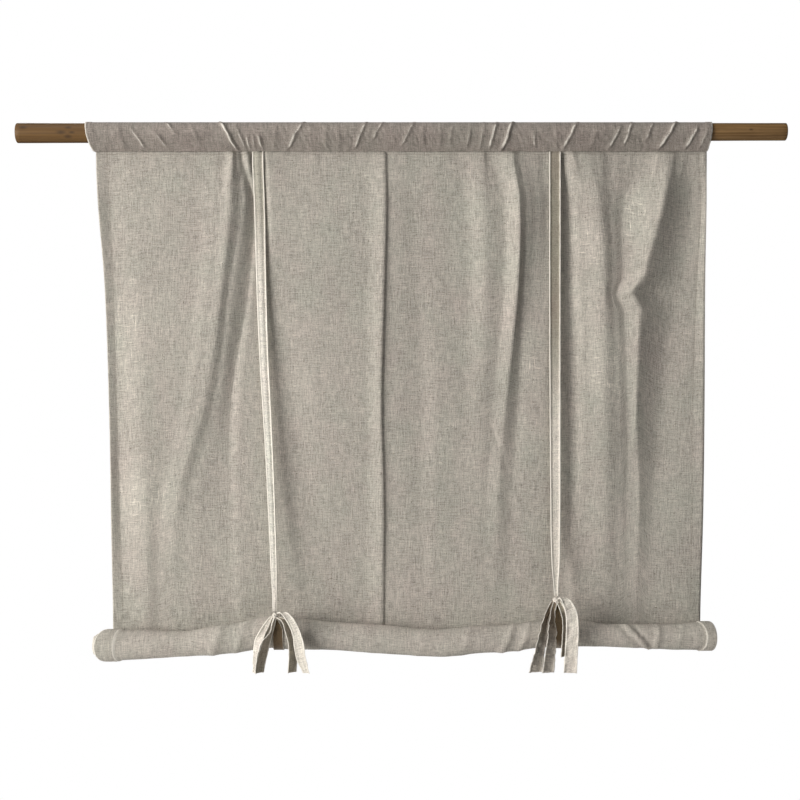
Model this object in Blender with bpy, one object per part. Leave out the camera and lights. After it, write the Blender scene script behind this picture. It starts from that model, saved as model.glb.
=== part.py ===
"""Roll-up curtain of slubby linen on a round wooden rod.

One width of cloth hangs from a rod pocket. Its lower half is rolled up towards the front,
and two pairs of ribbon strips, one in front of the cloth and one behind it, carry the roll.
Each pair is tied in a bow above the roll, with its ends hanging over it.

The rod lies along X, +Z is up and the front of the curtain faces -Y. The origin is on the
rod's axis at the middle of its length. Tables are in millimetres.
"""
import math
from collections import namedtuple

import bmesh
import bpy
from mathutils import Vector

MM = 0.001

# Driving sizes
ROD_HALF_LENGTH = 615.0
ROD_TOP_Z = 15.0
ROD_RADIUS_LEFT = 16.0
ROD_RADIUS_RIGHT = 14.0
ROD_SIDES = 28
ROD_END_BEVEL = 0.8

CLOTH_THICKNESS = 1.6
RIBBON_THICKNESS = 1.0
GAP = 0.35

SEAM_Z = -31.4
POCKET_LEFT_TOP = -504.8
POCKET_RIGHT_TOP = 495.2
POCKET_LEFT_SEAM = -490.0
POCKET_RIGHT_SEAM = 488.0
POCKET_STRAIGHT_STEPS = 3
POCKET_ARC_STEPS = 10
GATHER_REACH = 10.0

ROLL_CENTRE_Y = -4.0
ROLL_SIDES = 18
ROLL_RING_SPACING = 19.0

PANEL_ROWS = 18
PANEL_COLUMN_SPACING = 17.0
STRIP_ARC_STEPS = 12
FRONT_STRIP_STEPS = 22
BACK_STRIP_STEPS = 13
SETTLE_STEPS = 4
KNOT_SEGMENTS = 12
KNOT_RINGS = 8
STRAND_STEPS = 2
SHARP_EDGE_DEGREES = 40

# How the pieces lie on each other
POCKET_END_BEND = 0.5
GATHER_START_SLOPE = 5.0
STRIP_STAND_OFF = 1.7
STAND_OFF_SLOPE = 8.0
KNOT_APPROACH = 2.5
BACK_STRIP_FOOT = 6.0
BACK_STRIP_SHIFT = 4.4
WIDTH_AT_KNOT = 0.55

# The pocket's gathers: a ridge from the rod's top down to the seam, and how far it stands out
Gather = namedtuple("Gather", "x_top x_seam height")
GATHERS = (
    Gather(-430.0, -402.0, 1.6),
    Gather(-378.0, -350.0, 1.4),
    Gather(-289.0, -258.0, 3.0),
    Gather(-216.0, -217.0, 2.0),
    Gather(-156.0, -185.0, 2.0),
    Gather(-56.0, -77.0, 1.8),
    Gather(20.0, -3.0, 1.6),
    Gather(176.0, 161.0, 3.0),
    Gather(281.0, 256.0, 1.8),
    Gather(350.0, 330.0, 2.0),
    Gather(402.0, 386.0, 1.6),
    Gather(440.0, 408.0, 3.0),
    Gather(472.0, 452.0, 2.4),
)

# Each fold of the panel is a line down the cloth. The columns give, at the six heights of
# FOLD_HEIGHTS, where the line lies across the cloth and how far it stands out to the front.
FOLD_HEIGHTS = (-31.7, -108.0, -236.0, -428.0, -588.0, -783.0)
Fold = namedtuple("Fold", "name across out")
FOLDS = (
    Fold("left edge", (-489, -486, -476, -470, -468, -466), (0, 3, 2, 2, 2, 0)),
    Fold("left hem crease", (-471, -468, -463, -458, -455, -449), (-1, -1.5, -1, -1.5, -4, -1.5)),
    Fold("left crest", (-440, -418, -414, -416, -412, -407), (1, 2, 3, 5, 5.5, 2)),
    Fold("left valley", (-326, -329, -332, -356, -386, -392), (-1, 1, 1.5, 3, 1.5, 0.5)),
    Fold("shoulder approach", (-283, -290, -304, -334, -372, -380), (-0.5, 5, 6, 6, 2.4, 1)),
    Fold("left shoulder", (-270, -274, -287, -316, -361, -370), (5, 9, 9, 7.5, 3.2, 1.2)),
    Fold("shoulder step", (-263, -254, -273, -297, -337, -345), (1.5, 0.5, 3, 1.5, -0.5, 0)),
    Fold("shoulder foot", (-256, -238, -244, -274, -276, -274), (-1, -8.5, -7, -5, -1.2, 0)),
    Fold("small crest", (-246, -234, -237, -260, -262, -258), (3.5, -7.2, -5, -0.6, 1.8, 1.8)),
    Fold("behind left tie", (-237, -228, -229, -232, -214, -200), (-3.5, -8, -5.5, -0.8, 2.2, 0.4)),
    Fold("right of left tie", (-212, -208, -204, -192, -166, -140), (3, 1.5, -2.2, -3.8, -3.4, -0.4)),
    Fold("plateau", (-162, -158, -150, -138, -112, -96), (0, -0.4, -1.4, -2.2, -2.4, -0.6)),
    Fold("tuck approach", (-56, -56, -56, -55, -56, -60), (-0.2, -1.4, -1.8, -1.8, -1.6, -0.6)),
    Fold("tuck crest", (-26.5, -25, -27.8, -32.5, -29, -30), (2.6, 4.6, 6, 5.8, 5.4, 3)),
    Fold("tuck foot", (-19.5, -18.5, -21.5, -25.5, -22.5, -23), (-0.2, 0.6, 1.2, 1.2, 1, 0.2)),
    Fold("tuck return", (-4, -4, -5, -8, -7, -5), (0, 0.4, 0.4, 0.2, 0.2, 0)),
    Fold("centre crease", (20, 20, 27, 33, 31, 38), (-1, -2, -2.6, -3, -2.4, -1.2)),
    Fold("centre rise", (44, 44, 48, 58, 55, 50), (-0.8, -2.2, -2.2, -0.6, -0.4, 0)),
    Fold("centre approach", (98, 101, 106, 102, 98, 98), (-1.2, -4, -3.4, -1.6, -1.2, 0)),
    Fold("centre swell", (130, 133, 137, 130, 124, 122), (2, 5, 4, 0.4, -1, 0)),
    Fold("centre valley", (143, 164, 164, 149, 138, 136), (-1.6, 2.2, 1.4, -1.2, -1.8, 0)),
    Fold("main crest", (178, 187, 186, 168, 156, 152), (6.5, 19, 15, 3.4, 0.6, 0)),
    Fold("main foot", (190, 201, 196, 188, 178, 172), (1.5, 11, 5, -4.2, -3.4, -0.5)),
    Fold("tie approach", (204, 218, 212, 204, 198, 194), (0, 5, 2.5, -2, -1.5, 0)),
    Fold("left of right tie", (233, 236, 233, 228, 226, 216), (-2.5, -1, 0.2, -1.2, -0.6, 0)),
    Fold("right of right tie", (257, 262, 266, 273, 272, 262), (-4.5, -12, -11.5, -9, -6.6, -1.2)),
    Fold("swell foot", (274, 282, 288, 295, 290, 276), (3.5, 1.5, 1, 1, 0.5, 0.5)),
    Fold("right swell", (300, 314, 324, 328, 330, 330), (5.5, 10.5, 11, 8.5, 4.5, 1.5)),
    Fold("right slack", (338, 336, 342, 348, 350, 350), (0.2, 4, 5, 5.5, 1.6, 0)),
    Fold("right valley", (390, 356, 356, 362, 364, 366), (-1.5, 0.5, 1.5, 2.6, -0.5, -0.5)),
    Fold("right crest", (425, 417, 386, 376, 382, 378), (6, 21, 15.5, 7.5, 2, 0)),
    Fold("right hollow", (460, 464, 450, 421, 410, 399), (-1.5, 0, -7.5, -7.5, -4.5, -1.5)),
    Fold("right hem", (475, 479, 474, 468, 468, 466), (0, 2, -5, -3, -1, 0)),
    Fold("right edge", (488, 487, 487, 487, 486, 482), (1.5, 6.5, 0.5, 1.2, 1, 0)),
)

# The roll from left to right: height of its middle and its radius
RollSection = namedtuple("RollSection", "x centre_z radius")
ROLL_SECTIONS = (
    RollSection(-492.5, -818.0, 4.0),
    RollSection(-489.0, -818.5, 12.0),
    RollSection(-480.0, -819.0, 19.5),
    RollSection(-467.0, -819.4, 25.0),
    RollSection(-412.0, -818.0, 23.9),
    RollSection(-342.0, -816.6, 20.5),
    RollSection(-298.0, -811.4, 23.8),
    RollSection(-260.0, -806.7, 24.3),
    RollSection(-209.0, -798.1, 26.0),
    RollSection(-170.0, -800.6, 25.9),
    RollSection(-114.0, -804.2, 22.9),
    RollSection(-31.0, -809.6, 23.4),
    RollSection(38.0, -815.0, 22.0),
    RollSection(70.0, -815.4, 22.4),
    RollSection(126.0, -809.8, 22.3),
    RollSection(172.0, -808.0, 21.8),
    RollSection(228.0, -801.3, 21.4),
    RollSection(284.0, -800.2, 21.6),
    RollSection(329.0, -803.4, 18.8),
    RollSection(380.0, -804.6, 19.6),
    RollSection(431.0, -805.8, 20.8),
    RollSection(482.0, -804.2, 22.8),
    RollSection(500.0, -804.5, 22.6),
    RollSection(505.0, -807.0, 15.0),
    RollSection(506.5, -808.0, 6.0),
)

# Slanting twists in the roll's front, from its upper to its lower side
RollTwist = namedtuple("RollTwist", "x_upper x_lower height half_width")
ROLL_TWISTS = (
    RollTwist(-282.0, -298.0, 2.2, 16.0),
    RollTwist(-246.0, -262.0, 2.0, 14.0),
    RollTwist(178.0, 158.0, 2.6, 14.0),
    RollTwist(202.0, 186.0, 2.2, 12.0),
    RollTwist(362.0, 398.0, 3.0, 12.0),
    RollTwist(408.0, 404.0, 2.0, 10.0),
)

# Ribbon ties: the front strip's stations, where off is how far it stands in front of the
# panel, the knot, and the hanging strands as (x, y, z, width, turn) stations, where turn is
# the width's angle from X about Z in degrees
StripStation = namedtuple("StripStation", "x z width off")
Strand = namedtuple("Strand", "name stations")
Tie = namedtuple("Tie", "name strip knot knot_radii strands")
TIES = (
    Tie(
        "tie_left",
        (
            StripStation(-229.5, -32.6, 17.5, 0.8),
            StripStation(-226.8, -130.0, 16.5, 3.0),
            StripStation(-224.4, -236.0, 15.5, 7.0),
            StripStation(-220.6, -345.0, 14.3, 11.0),
            StripStation(-216.0, -428.0, 13.4, 14.0),
            StripStation(-211.5, -508.0, 12.2, 16.0),
            StripStation(-207.4, -588.0, 11.2, 22.0),
            StripStation(-202.5, -690.0, 9.4, 36.0),
            StripStation(-200.0, -761.6, 7.0, 50.0),
        ),
        (-199.5, -30.5, -768.5),
        (6.0, 4.5, 6.5),
        (
            Strand("outer_left", (
                (-203, -33, -769, 7, 0),
                (-209.5, -37, -781, 14, -10),
                (-215, -38.5, -793.6, 19, -12),
                (-224, -41, -808, 18, -45),
                (-228, -42, -828, 17, -60),
                (-230.2, -41, -857, 16, -70),
            )),
            Strand("inner_left", (
                (-201, -33, -771, 7, 20),
                (-205, -37.5, -783, 12, 40),
                (-210.5, -39.5, -797, 17, 45),
                (-214, -39.5, -810, 18, 46),
                (-218, -39.5, -824, 18.5, 44),
                (-222.5, -39, -843, 18.5, 44),
                (-224.5, -38.5, -857, 18, 46),
            )),
            Strand("inner_right", (
                (-196, -33, -771, 6, 10),
                (-184.5, -37, -776, 12, 40),
                (-177, -37.5, -793, 18, 45),
                (-172.6, -37.5, -809.5, 18, 45),
                (-171.3, -37.5, -827, 18, 45),
                (-173.2, -36.5, -856.5, 17, 42),
            )),
            Strand("outer_right", (
                (-196, -31, -767, 7, 0),
                (-186, -37, -763.5, 11, 0),
                (-175.5, -41, -772, 14, -8),
                (-165.5, -42.5, -790.5, 15, -20),
                (-160.8, -43, -808, 18, -25),
                (-158.4, -42.5, -827, 18.5, -28),
                (-153.7, -41.5, -844, 16, -28),
                (-149, -41, -857, 11, -25),
            )),
        ),
    ),
    Tie(
        "tie_right",
        (
            StripStation(245.5, -32.6, 18.0, 0.8),
            StripStation(245.5, -108.0, 18.0, 2.5),
            StripStation(245.5, -236.0, 17.9, 3.5),
            StripStation(245.7, -330.0, 17.5, 6.0),
            StripStation(246.0, -428.0, 17.0, 9.0),
            StripStation(246.2, -508.0, 16.5, 11.0),
            StripStation(246.5, -588.0, 15.8, 13.0),
            StripStation(246.0, -684.0, 13.0, 19.0),
            StripStation(244.5, -738.1, 7.0, 43.0),
        ),
        (244.5, -26.0, -745.0),
        (6.0, 4.5, 6.5),
        (
            Strand("outer_left", (
                (240, -28, -746, 7, 0),
                (231.5, -31.5, -762, 11, 25),
                (225.7, -33, -778, 13, 38),
                (222.2, -33, -793.6, 16, 38),
                (219.5, -33.5, -811, 19, 36),
                (216, -33.5, -827, 20, 28),
                (211.2, -32.5, -857, 23, 12),
            )),
            Strand("inner_left", (
                (243, -29, -747, 7, 0),
                (238.5, -33.5, -760, 9, 30),
                (236, -36.5, -776, 14, 45),
                (236, -37, -791, 19, 42),
                (235, -37.5, -811, 19, 36),
                (233.2, -37, -827, 19.5, 26),
                (230.2, -36, -857, 19.5, 15),
            )),
            Strand("short_end", (
                (248, -29, -746, 7, 0),
                (254.5, -31, -762, 10, 20),
                (257, -32, -778, 11, 40),
                (255.5, -32, -800, 11, 50),
                (253.5, -32, -833, 10, 50),
            )),
            Strand("outer_right", (
                (247, -27, -744, 8, 0),
                (256, -33, -741.5, 13, -5),
                (263, -37, -751, 17, -10),
                (267.8, -39.5, -767, 19, -15),
                (268.7, -40, -795, 20, -15),
                (267, -39.5, -822, 20, -12),
                (265.3, -38, -857, 20.5, -8),
            )),
        ),
    ),
)


def clear_scene():
    for item in list(bpy.data.objects):
        bpy.data.objects.remove(item, do_unlink=True)


def make_material(name, colour, roughness):
    material = bpy.data.materials.new(name)
    material.use_nodes = True
    shader = material.node_tree.nodes["Principled BSDF"]
    shader.inputs["Base Color"].default_value = (*colour, 1.0)
    shader.inputs["Roughness"].default_value = roughness
    shader.inputs["Metallic"].default_value = 0.0
    return material


def make_object(name, mesh_builder, material):
    """Turn a bmesh into an object in the scene, shaded smooth but for its sharp edges."""
    mesh = bpy.data.meshes.new(name)
    mesh_builder.to_mesh(mesh)
    mesh_builder.free()
    mesh.shade_smooth()
    mesh.set_sharp_from_angle(angle=math.radians(SHARP_EDGE_DEGREES))
    mesh.materials.append(material)
    item = bpy.data.objects.new(name, mesh)
    bpy.context.scene.collection.objects.link(item)
    return item


def mix(a, b, share):
    return a + (b - a) * share


def ease(share):
    """A share from 0 to 1 that starts and ends gently."""
    return 0.5 - 0.5 * math.cos(math.pi * share)


def read_table(places, values, place):
    """Read a smooth curve at rising or falling places, held level past both ends."""
    sign = 1.0 if places[-1] > places[0] else -1.0
    if sign * place <= sign * places[0]:
        return values[0]
    if sign * place >= sign * places[-1]:
        return values[-1]
    index = 0
    while sign * place > sign * places[index + 1]:
        index += 1
    span = places[index + 1] - places[index]
    share = (place - places[index]) / span

    def slope(at):
        if at == 0 or at == len(places) - 1:
            return 0.0
        return (values[at + 1] - values[at - 1]) / (places[at + 1] - places[at - 1])

    start, end = values[index], values[index + 1]
    push, pull = slope(index) * span, slope(index + 1) * span
    s2, s3 = share * share, share ** 3
    return (
        (2 * s3 - 3 * s2 + 1) * start
        + (s3 - 2 * s2 + share) * push
        + (3 * s2 - 2 * s3) * end
        + (s3 - s2) * pull
    )


def build_grid(mesh_builder, rows, close_rows=False):
    """Add the vertices of rows of points in mm, and the quads between them."""
    grid = [[mesh_builder.verts.new([c * MM for c in point]) for point in row] for row in rows]
    for upper, lower in zip(grid, grid[1:]):
        count = len(upper)
        for index in range(count if close_rows else count - 1):
            after = (index + 1) % count
            mesh_builder.faces.new((upper[index], lower[index], lower[after], upper[after]))
    return grid


def add_thickness(item, thickness):
    solidify = item.modifiers.new("cloth thickness", "SOLIDIFY")
    solidify.thickness = thickness * MM
    solidify.offset = 0.0
    solidify.use_even_offset = True
    return solidify


# Rod
def rod_radius(x):
    return mix(ROD_RADIUS_LEFT, ROD_RADIUS_RIGHT, (x + ROD_HALF_LENGTH) / (2 * ROD_HALF_LENGTH))


def rod_axis_z(x):
    """The rod tapers a little, with its top edge level."""
    return ROD_TOP_Z - rod_radius(x)


def make_rod(material):
    builder = bmesh.new()
    bevel = ROD_END_BEVEL
    stations = (
        (-ROD_HALF_LENGTH, bevel), (-ROD_HALF_LENGTH + bevel, 0.0),
        (ROD_HALF_LENGTH - bevel, 0.0), (ROD_HALF_LENGTH, bevel),
    )
    rings = []
    for x, inset in stations:
        ring = []
        for side in range(ROD_SIDES):
            angle = 2 * math.pi * side / ROD_SIDES
            reach = rod_radius(x) - inset
            ring.append((x, reach * math.cos(angle), rod_axis_z(x) + reach * math.sin(angle)))
        rings.append(ring)
    grid = build_grid(builder, rings, close_rows=True)
    builder.faces.new(grid[0])
    builder.faces.new(list(reversed(grid[-1])))
    bmesh.ops.recalc_face_normals(builder, faces=builder.faces)
    return make_object("rod", builder, material)


# Heading: a pocket round the rod
def pocket_columns():
    """(top x, seam x, height) of the lines that shape the pocket, from left to right."""
    lines = [(POCKET_LEFT_TOP, POCKET_LEFT_SEAM, 0.0)]
    for gather in GATHERS:
        for shift, height in ((-GATHER_REACH, 0.0), (0.0, gather.height), (GATHER_REACH, 0.0)):
            lines.append((gather.x_top + shift, gather.x_seam + shift, height))
    lines.append((POCKET_RIGHT_TOP, POCKET_RIGHT_SEAM, 0.0))
    return lines


def pocket_section(x):
    """Mid-cloth points of the pocket, from the seam up the front and down the back."""
    radius = rod_radius(x) + GAP + CLOTH_THICKNESS / 2
    axis_z = rod_axis_z(x)
    drop = axis_z - SEAM_Z - CLOTH_THICKNESS
    apex = math.asin(radius / drop)
    straight = math.sqrt(drop * drop - radius * radius)
    rising = [
        (straight * step / POCKET_STRAIGHT_STEPS * math.sin(apex),
         axis_z - drop + straight * step / POCKET_STRAIGHT_STEPS * math.cos(apex))
        for step in range(POCKET_STRAIGHT_STEPS)
    ]
    points = [(-y, z) for y, z in rising]
    step_angle = (math.pi + 2 * apex) / POCKET_ARC_STEPS
    corner_radius = radius / math.cos(step_angle / 2)
    for step in range(POCKET_ARC_STEPS + 1):
        angle = math.pi + apex - step * step_angle
        points.append((corner_radius * math.cos(angle), axis_z + corner_radius * math.sin(angle)))
    points.extend(reversed(rising[1:]))
    return points


def make_heading(material):
    builder = bmesh.new()
    lines = pocket_columns()
    rows = []
    for line in lines:
        x_top, x_seam, height = line
        section = pocket_section(x_top)
        seam_z, top_z = section[0][1], max(z for _, z in section)
        bend = POCKET_END_BEND if line in (lines[0], lines[-1]) else 1.0
        row = []
        for y, z in section:
            upness = (z - seam_z) / (top_z - seam_z)
            outward = Vector((y, z - rod_axis_z(x_top))).normalized()
            out = height * min(1.0, GATHER_START_SLOPE * upness) * (1 - upness ** 2)
            x = mix(x_seam, x_top, upness ** bend)
            row.append((x, y + outward.x * out, z + outward.y * out))
        rows.append(row)
    build_grid(builder, rows, close_rows=True)
    bmesh.ops.recalc_face_normals(builder, faces=builder.faces)
    heading = make_object("heading", builder, material)
    add_thickness(heading, CLOTH_THICKNESS)
    return heading


# Roll
def roll_centre_z(x):
    return read_table([s.x for s in ROLL_SECTIONS], [s.centre_z for s in ROLL_SECTIONS], x)


def roll_radius(x):
    return read_table([s.x for s in ROLL_SECTIONS], [s.radius for s in ROLL_SECTIONS], x)


def roll_twist(x, angle):
    """Extra radius of the slanting twists; the angle is 180 degrees at the front."""
    frontness = -math.cos(angle)
    if frontness <= 0.0:
        return 0.0
    share = 0.5 - 0.5 * math.sin(angle)
    out = 0.0
    for twist in ROLL_TWISTS:
        distance = abs(x - mix(twist.x_upper, twist.x_lower, share))
        if distance < twist.half_width:
            out += twist.height * ease(1.0 - distance / twist.half_width)
    return out * math.sqrt(frontness)


def roll_columns():
    marks = [ROLL_SECTIONS[0].x]
    for before, after in zip(ROLL_SECTIONS, ROLL_SECTIONS[1:]):
        steps = max(1, round((after.x - before.x) / ROLL_RING_SPACING))
        marks.extend(mix(before.x, after.x, step / steps) for step in range(1, steps + 1))
    return marks


def make_roll(material):
    builder = bmesh.new()
    rings = []
    for x in roll_columns():
        ring = []
        for side in range(ROLL_SIDES):
            angle = 2 * math.pi * side / ROLL_SIDES
            reach = roll_radius(x) + roll_twist(x, angle)
            y = ROLL_CENTRE_Y + reach * math.cos(angle)
            ring.append((x, y, roll_centre_z(x) + reach * math.sin(angle)))
        rings.append(ring)
    grid = build_grid(builder, rings, close_rows=True)
    builder.faces.new(grid[0])
    builder.faces.new(list(reversed(grid[-1])))
    bmesh.ops.recalc_face_normals(builder, faces=builder.faces)
    return make_object("roll", builder, material)


# Panel
def fold_across(fold, z):
    return read_table(FOLD_HEIGHTS, fold.across, z)


def fold_out(fold, z):
    return read_table(FOLD_HEIGHTS, fold.out, z)


def panel_out(x, z):
    """How far the panel's folds stand out at a place on it."""
    places = [fold_across(fold, z) for fold in FOLDS]
    if x <= places[0]:
        return fold_out(FOLDS[0], z)
    for index in range(len(FOLDS) - 1):
        if x <= places[index + 1]:
            share = (x - places[index]) / (places[index + 1] - places[index])
            return mix(fold_out(FOLDS[index], z), fold_out(FOLDS[index + 1], z), ease(share))
    return fold_out(FOLDS[-1], z)


def panel_y(x, z):
    """Depth of the panel's mid-cloth. It leans back from the seam to behind the roll."""
    foot_z = roll_centre_z(x)
    foot_y = ROLL_CENTRE_Y + roll_radius(x) + GAP + CLOTH_THICKNESS / 2
    down = (SEAM_Z - z) / (SEAM_Z - foot_z)
    fading = min(1.0, max(0.0, (z - foot_z) / (FOLD_HEIGHTS[-1] - foot_z)))
    return foot_y * down - panel_out(x, z) * fading ** 2 * (3 - 2 * fading)


def panel_columns():
    """Pairs of a fold's index and a share of the way to the next fold."""
    marks = []
    for index in range(len(FOLDS) - 1):
        gap = max(b - a for a, b in zip(FOLDS[index].across, FOLDS[index + 1].across))
        steps = max(1, round(gap / PANEL_COLUMN_SPACING))
        marks.extend((index, step / steps) for step in range(steps))
    marks.append((len(FOLDS) - 2, 1.0))
    return marks


def make_panel(material):
    builder = bmesh.new()
    rows = []
    top_z = SEAM_Z - GAP
    for row_index in range(PANEL_ROWS + 1):
        share = row_index / PANEL_ROWS
        row = []
        for index, across in panel_columns():
            level_z = mix(top_z, FOLD_HEIGHTS[-1], share)
            x = mix(fold_across(FOLDS[index], level_z), fold_across(FOLDS[index + 1], level_z), across)
            z = mix(top_z, roll_centre_z(x), share)
            row.append((x, panel_y(x, z), z))
        rows.append(row)
    build_grid(builder, rows)
    bmesh.ops.recalc_face_normals(builder, faces=builder.faces)
    panel = make_object("panel", builder, material)
    add_thickness(panel, CLOTH_THICKNESS)
    return panel


# Ties
def smooth_route(stations, steps):
    """Points on a smooth curve through stations of any number of columns."""
    places = list(range(len(stations)))
    columns = list(zip(*stations))
    count = steps * (len(stations) - 1)
    return [
        tuple(read_table(places, column, index / steps) for column in columns)
        for index in range(count + 1)
    ]


def ribbon_builder(stations):
    """A strip two faces wide along (x, y, z, width, turn) stations."""
    builder = bmesh.new()
    rows = []
    for x, y, z, width, turn in stations:
        side = Vector((math.cos(math.radians(turn)), math.sin(math.radians(turn)), 0.0))
        rows.append([Vector((x, y, z)) + side * width * across for across in (-0.5, 0.0, 0.5)])
    build_grid(builder, rows)
    bmesh.ops.recalc_face_normals(builder, faces=builder.faces)
    return builder


def make_ribbon(name, stations, material):
    ribbon = make_object(name, ribbon_builder(stations), material)
    add_thickness(ribbon, RIBBON_THICKNESS)
    return ribbon


def across_ribbon(x, width):
    """Places across a ribbon, at its edges and between them."""
    return [x + width * part for part in (-0.5, -0.25, 0.0, 0.25, 0.5)]


def panel_limit(x, z, width, side):
    """The panel's foremost (side -1) or rearmost (side +1) surface across a ribbon."""
    depths = [panel_y(place, z) for place in across_ribbon(x, width + 2 * RIBBON_THICKNESS)]
    return (max(depths) if side > 0 else min(depths)) + side * CLOTH_THICKNESS / 2


def strip_clearance(down):
    """A strip is sewn at the seam and stands 2 mm clear of the cloth below it."""
    return GAP + RIBBON_THICKNESS / 2 + STRIP_STAND_OFF * min(1.0, down * STAND_OFF_SLOPE)


def make_front_strip(tie, material):
    """A strip that hangs in front of the panel and leaves it towards the knot."""
    heights = [s.z for s in tie.strip]
    stations = []
    for step in range(FRONT_STRIP_STEPS + 1):
        down = step / FRONT_STRIP_STEPS
        z = mix(heights[0], heights[-1], down)
        x = read_table(heights, [s.x for s in tie.strip], z)
        width = read_table(heights, [s.width for s in tie.strip], z)
        off = read_table(heights, [s.off for s in tie.strip], z)
        cloth_y = panel_limit(x, z, width, -1)
        leaving = ease(min(1.0, max(0.0, KNOT_APPROACH * (down - 1.0) + 1.0)))
        y = min(mix(cloth_y - off, tie.knot[1], leaving), cloth_y - strip_clearance(down))
        stations.append((x, y, z, width, 0.0))
    return make_ribbon(tie.name + "_front", stations, material)


def roll_reach(x, width):
    """Radius about the roll's middle at x that clears it across a ribbon's width."""
    reach = 0.0
    for place in across_ribbon(x, width):
        shift = abs(roll_centre_z(place) - roll_centre_z(x))
        reach = max(reach, roll_radius(place) + shift)
    return (reach + GAP + RIBBON_THICKNESS / 2) / math.cos(math.pi / STRIP_ARC_STEPS / 2)


def make_back_strip(tie, material):
    """Down behind the panel, under the roll and up its front to the knot."""
    top = tie.strip[0].z
    foot_x = tie.knot[0] + BACK_STRIP_SHIFT
    width = tie.strip[1].width
    centre_z = roll_centre_z(foot_x)
    stations = []
    for step in range(BACK_STRIP_STEPS + 1):
        z = mix(top, centre_z + BACK_STRIP_FOOT, step / BACK_STRIP_STEPS)
        down = (top - z) / (top - centre_z)
        x = mix(tie.strip[0].x, foot_x, down)
        y = panel_limit(x, z, width, +1) + strip_clearance(down)
        stations.append((x, y, z, width, 0.0))
    under = roll_reach(foot_x, width)
    behind = stations[-1][1] - ROLL_CENTRE_Y
    for step in range(STRIP_ARC_STEPS + 1):
        angle = -math.pi * step / STRIP_ARC_STEPS
        reach = mix(behind, under, ease(min(1.0, step / SETTLE_STEPS)))
        y = ROLL_CENTRE_Y + reach * math.cos(angle)
        stations.append((foot_x, y, centre_z + reach * math.sin(angle), width, 0.0))
    knot_foot = tie.knot[2] - tie.knot_radii[2] - GAP
    front_y = ROLL_CENTRE_Y - under
    stations.append((foot_x, front_y, mix(centre_z, knot_foot, 0.5), width, 0.0))
    stations.append((tie.knot[0], mix(front_y, tie.knot[1], 0.5), knot_foot, width * WIDTH_AT_KNOT, 0.0))
    return make_ribbon(tie.name + "_back", stations, material)


def make_bow(tie, material):
    """The knot and its hanging strands, joined into one body."""
    builder = bmesh.new()
    bmesh.ops.create_uvsphere(builder, u_segments=KNOT_SEGMENTS, v_segments=KNOT_RINGS, radius=1.0)
    for vertex in builder.verts:
        place = [k + r * c for k, r, c in zip(tie.knot, tie.knot_radii, vertex.co)]
        vertex.co = Vector(place) * MM
    bow = make_object(tie.name + "_bow", builder, material)
    for strand in tie.strands:
        route = smooth_route(strand.stations, STRAND_STEPS)
        guide = make_ribbon(tie.name + "_" + strand.name, route, material)
        guide.hide_render = True
        guide.display_type = "WIRE"
        union = bow.modifiers.new(strand.name, "BOOLEAN")
        union.operation = "UNION"
        union.solver = "EXACT"
        union.object = guide
    return bow


def build():
    clear_scene()
    linen = make_material("linen", (0.38, 0.35, 0.30), 0.9)
    ribbon = make_material("ribbon", (0.55, 0.50, 0.43), 0.85)
    wood = make_material("wood", (0.16, 0.085, 0.04), 0.55)
    make_rod(wood)
    make_heading(linen)
    make_panel(linen)
    make_roll(linen)
    for tie in TIES:
        make_front_strip(tie, ribbon)
        make_back_strip(tie, ribbon)
        make_bow(tie, ribbon)


build()
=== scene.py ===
# %% Load the frame
import math
from collections import namedtuple

import bmesh
import bpy
import numpy as np
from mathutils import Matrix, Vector, noise


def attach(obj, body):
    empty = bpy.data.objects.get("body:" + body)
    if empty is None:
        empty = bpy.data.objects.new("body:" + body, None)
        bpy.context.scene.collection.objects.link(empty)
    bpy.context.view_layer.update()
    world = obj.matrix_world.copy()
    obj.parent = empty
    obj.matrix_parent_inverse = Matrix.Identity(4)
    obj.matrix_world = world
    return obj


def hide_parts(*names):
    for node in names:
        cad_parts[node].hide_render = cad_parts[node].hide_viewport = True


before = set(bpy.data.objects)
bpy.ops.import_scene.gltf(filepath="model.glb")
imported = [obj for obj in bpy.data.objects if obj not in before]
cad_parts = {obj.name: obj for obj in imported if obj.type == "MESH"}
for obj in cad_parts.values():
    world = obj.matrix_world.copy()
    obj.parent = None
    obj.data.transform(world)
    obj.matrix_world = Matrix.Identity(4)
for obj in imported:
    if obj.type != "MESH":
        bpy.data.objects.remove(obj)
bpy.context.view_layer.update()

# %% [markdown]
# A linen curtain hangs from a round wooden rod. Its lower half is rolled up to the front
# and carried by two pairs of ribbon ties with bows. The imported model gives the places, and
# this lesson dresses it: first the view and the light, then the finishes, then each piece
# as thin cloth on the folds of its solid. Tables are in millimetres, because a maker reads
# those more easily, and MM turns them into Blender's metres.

MM = 0.001

# %% [markdown]
# The curtain is seen straight from the front, at the height of its middle. A lens of
# about 62 mm at 2.2 m makes one pixel of an 800 pixel frame 1.6 mm of cloth.

# %% Camera
CAMERA_PLACE = (-0.0024, -2.2, -0.428)
CAMERA_LENS = 61.875

camera = bpy.data.objects.new("camera", bpy.data.cameras.new("camera"))
camera.data.sensor_width = 36.0
camera.data.lens = CAMERA_LENS
camera.location = CAMERA_PLACE
camera.rotation_euler = (math.radians(90), 0.0, 0.0)
bpy.context.scene.collection.objects.link(camera)
bpy.context.scene.camera = camera
bpy.context.scene.view_settings.view_transform = "Standard"
print("camera", CAMERA_PLACE, "lens", CAMERA_LENS, "mm")

# %% [markdown]
# Folds in cloth show by the light that grazes them. One large soft lamp stands to the left
# and in front, so every flank that faces left is pale and the ribbons throw a soft shadow
# to their right. A weak lamp above brightens the roll's top, and a weak one in front and a
# pale sky keep the shaded flanks readable. The lamp behind is for a look at the back.

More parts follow.
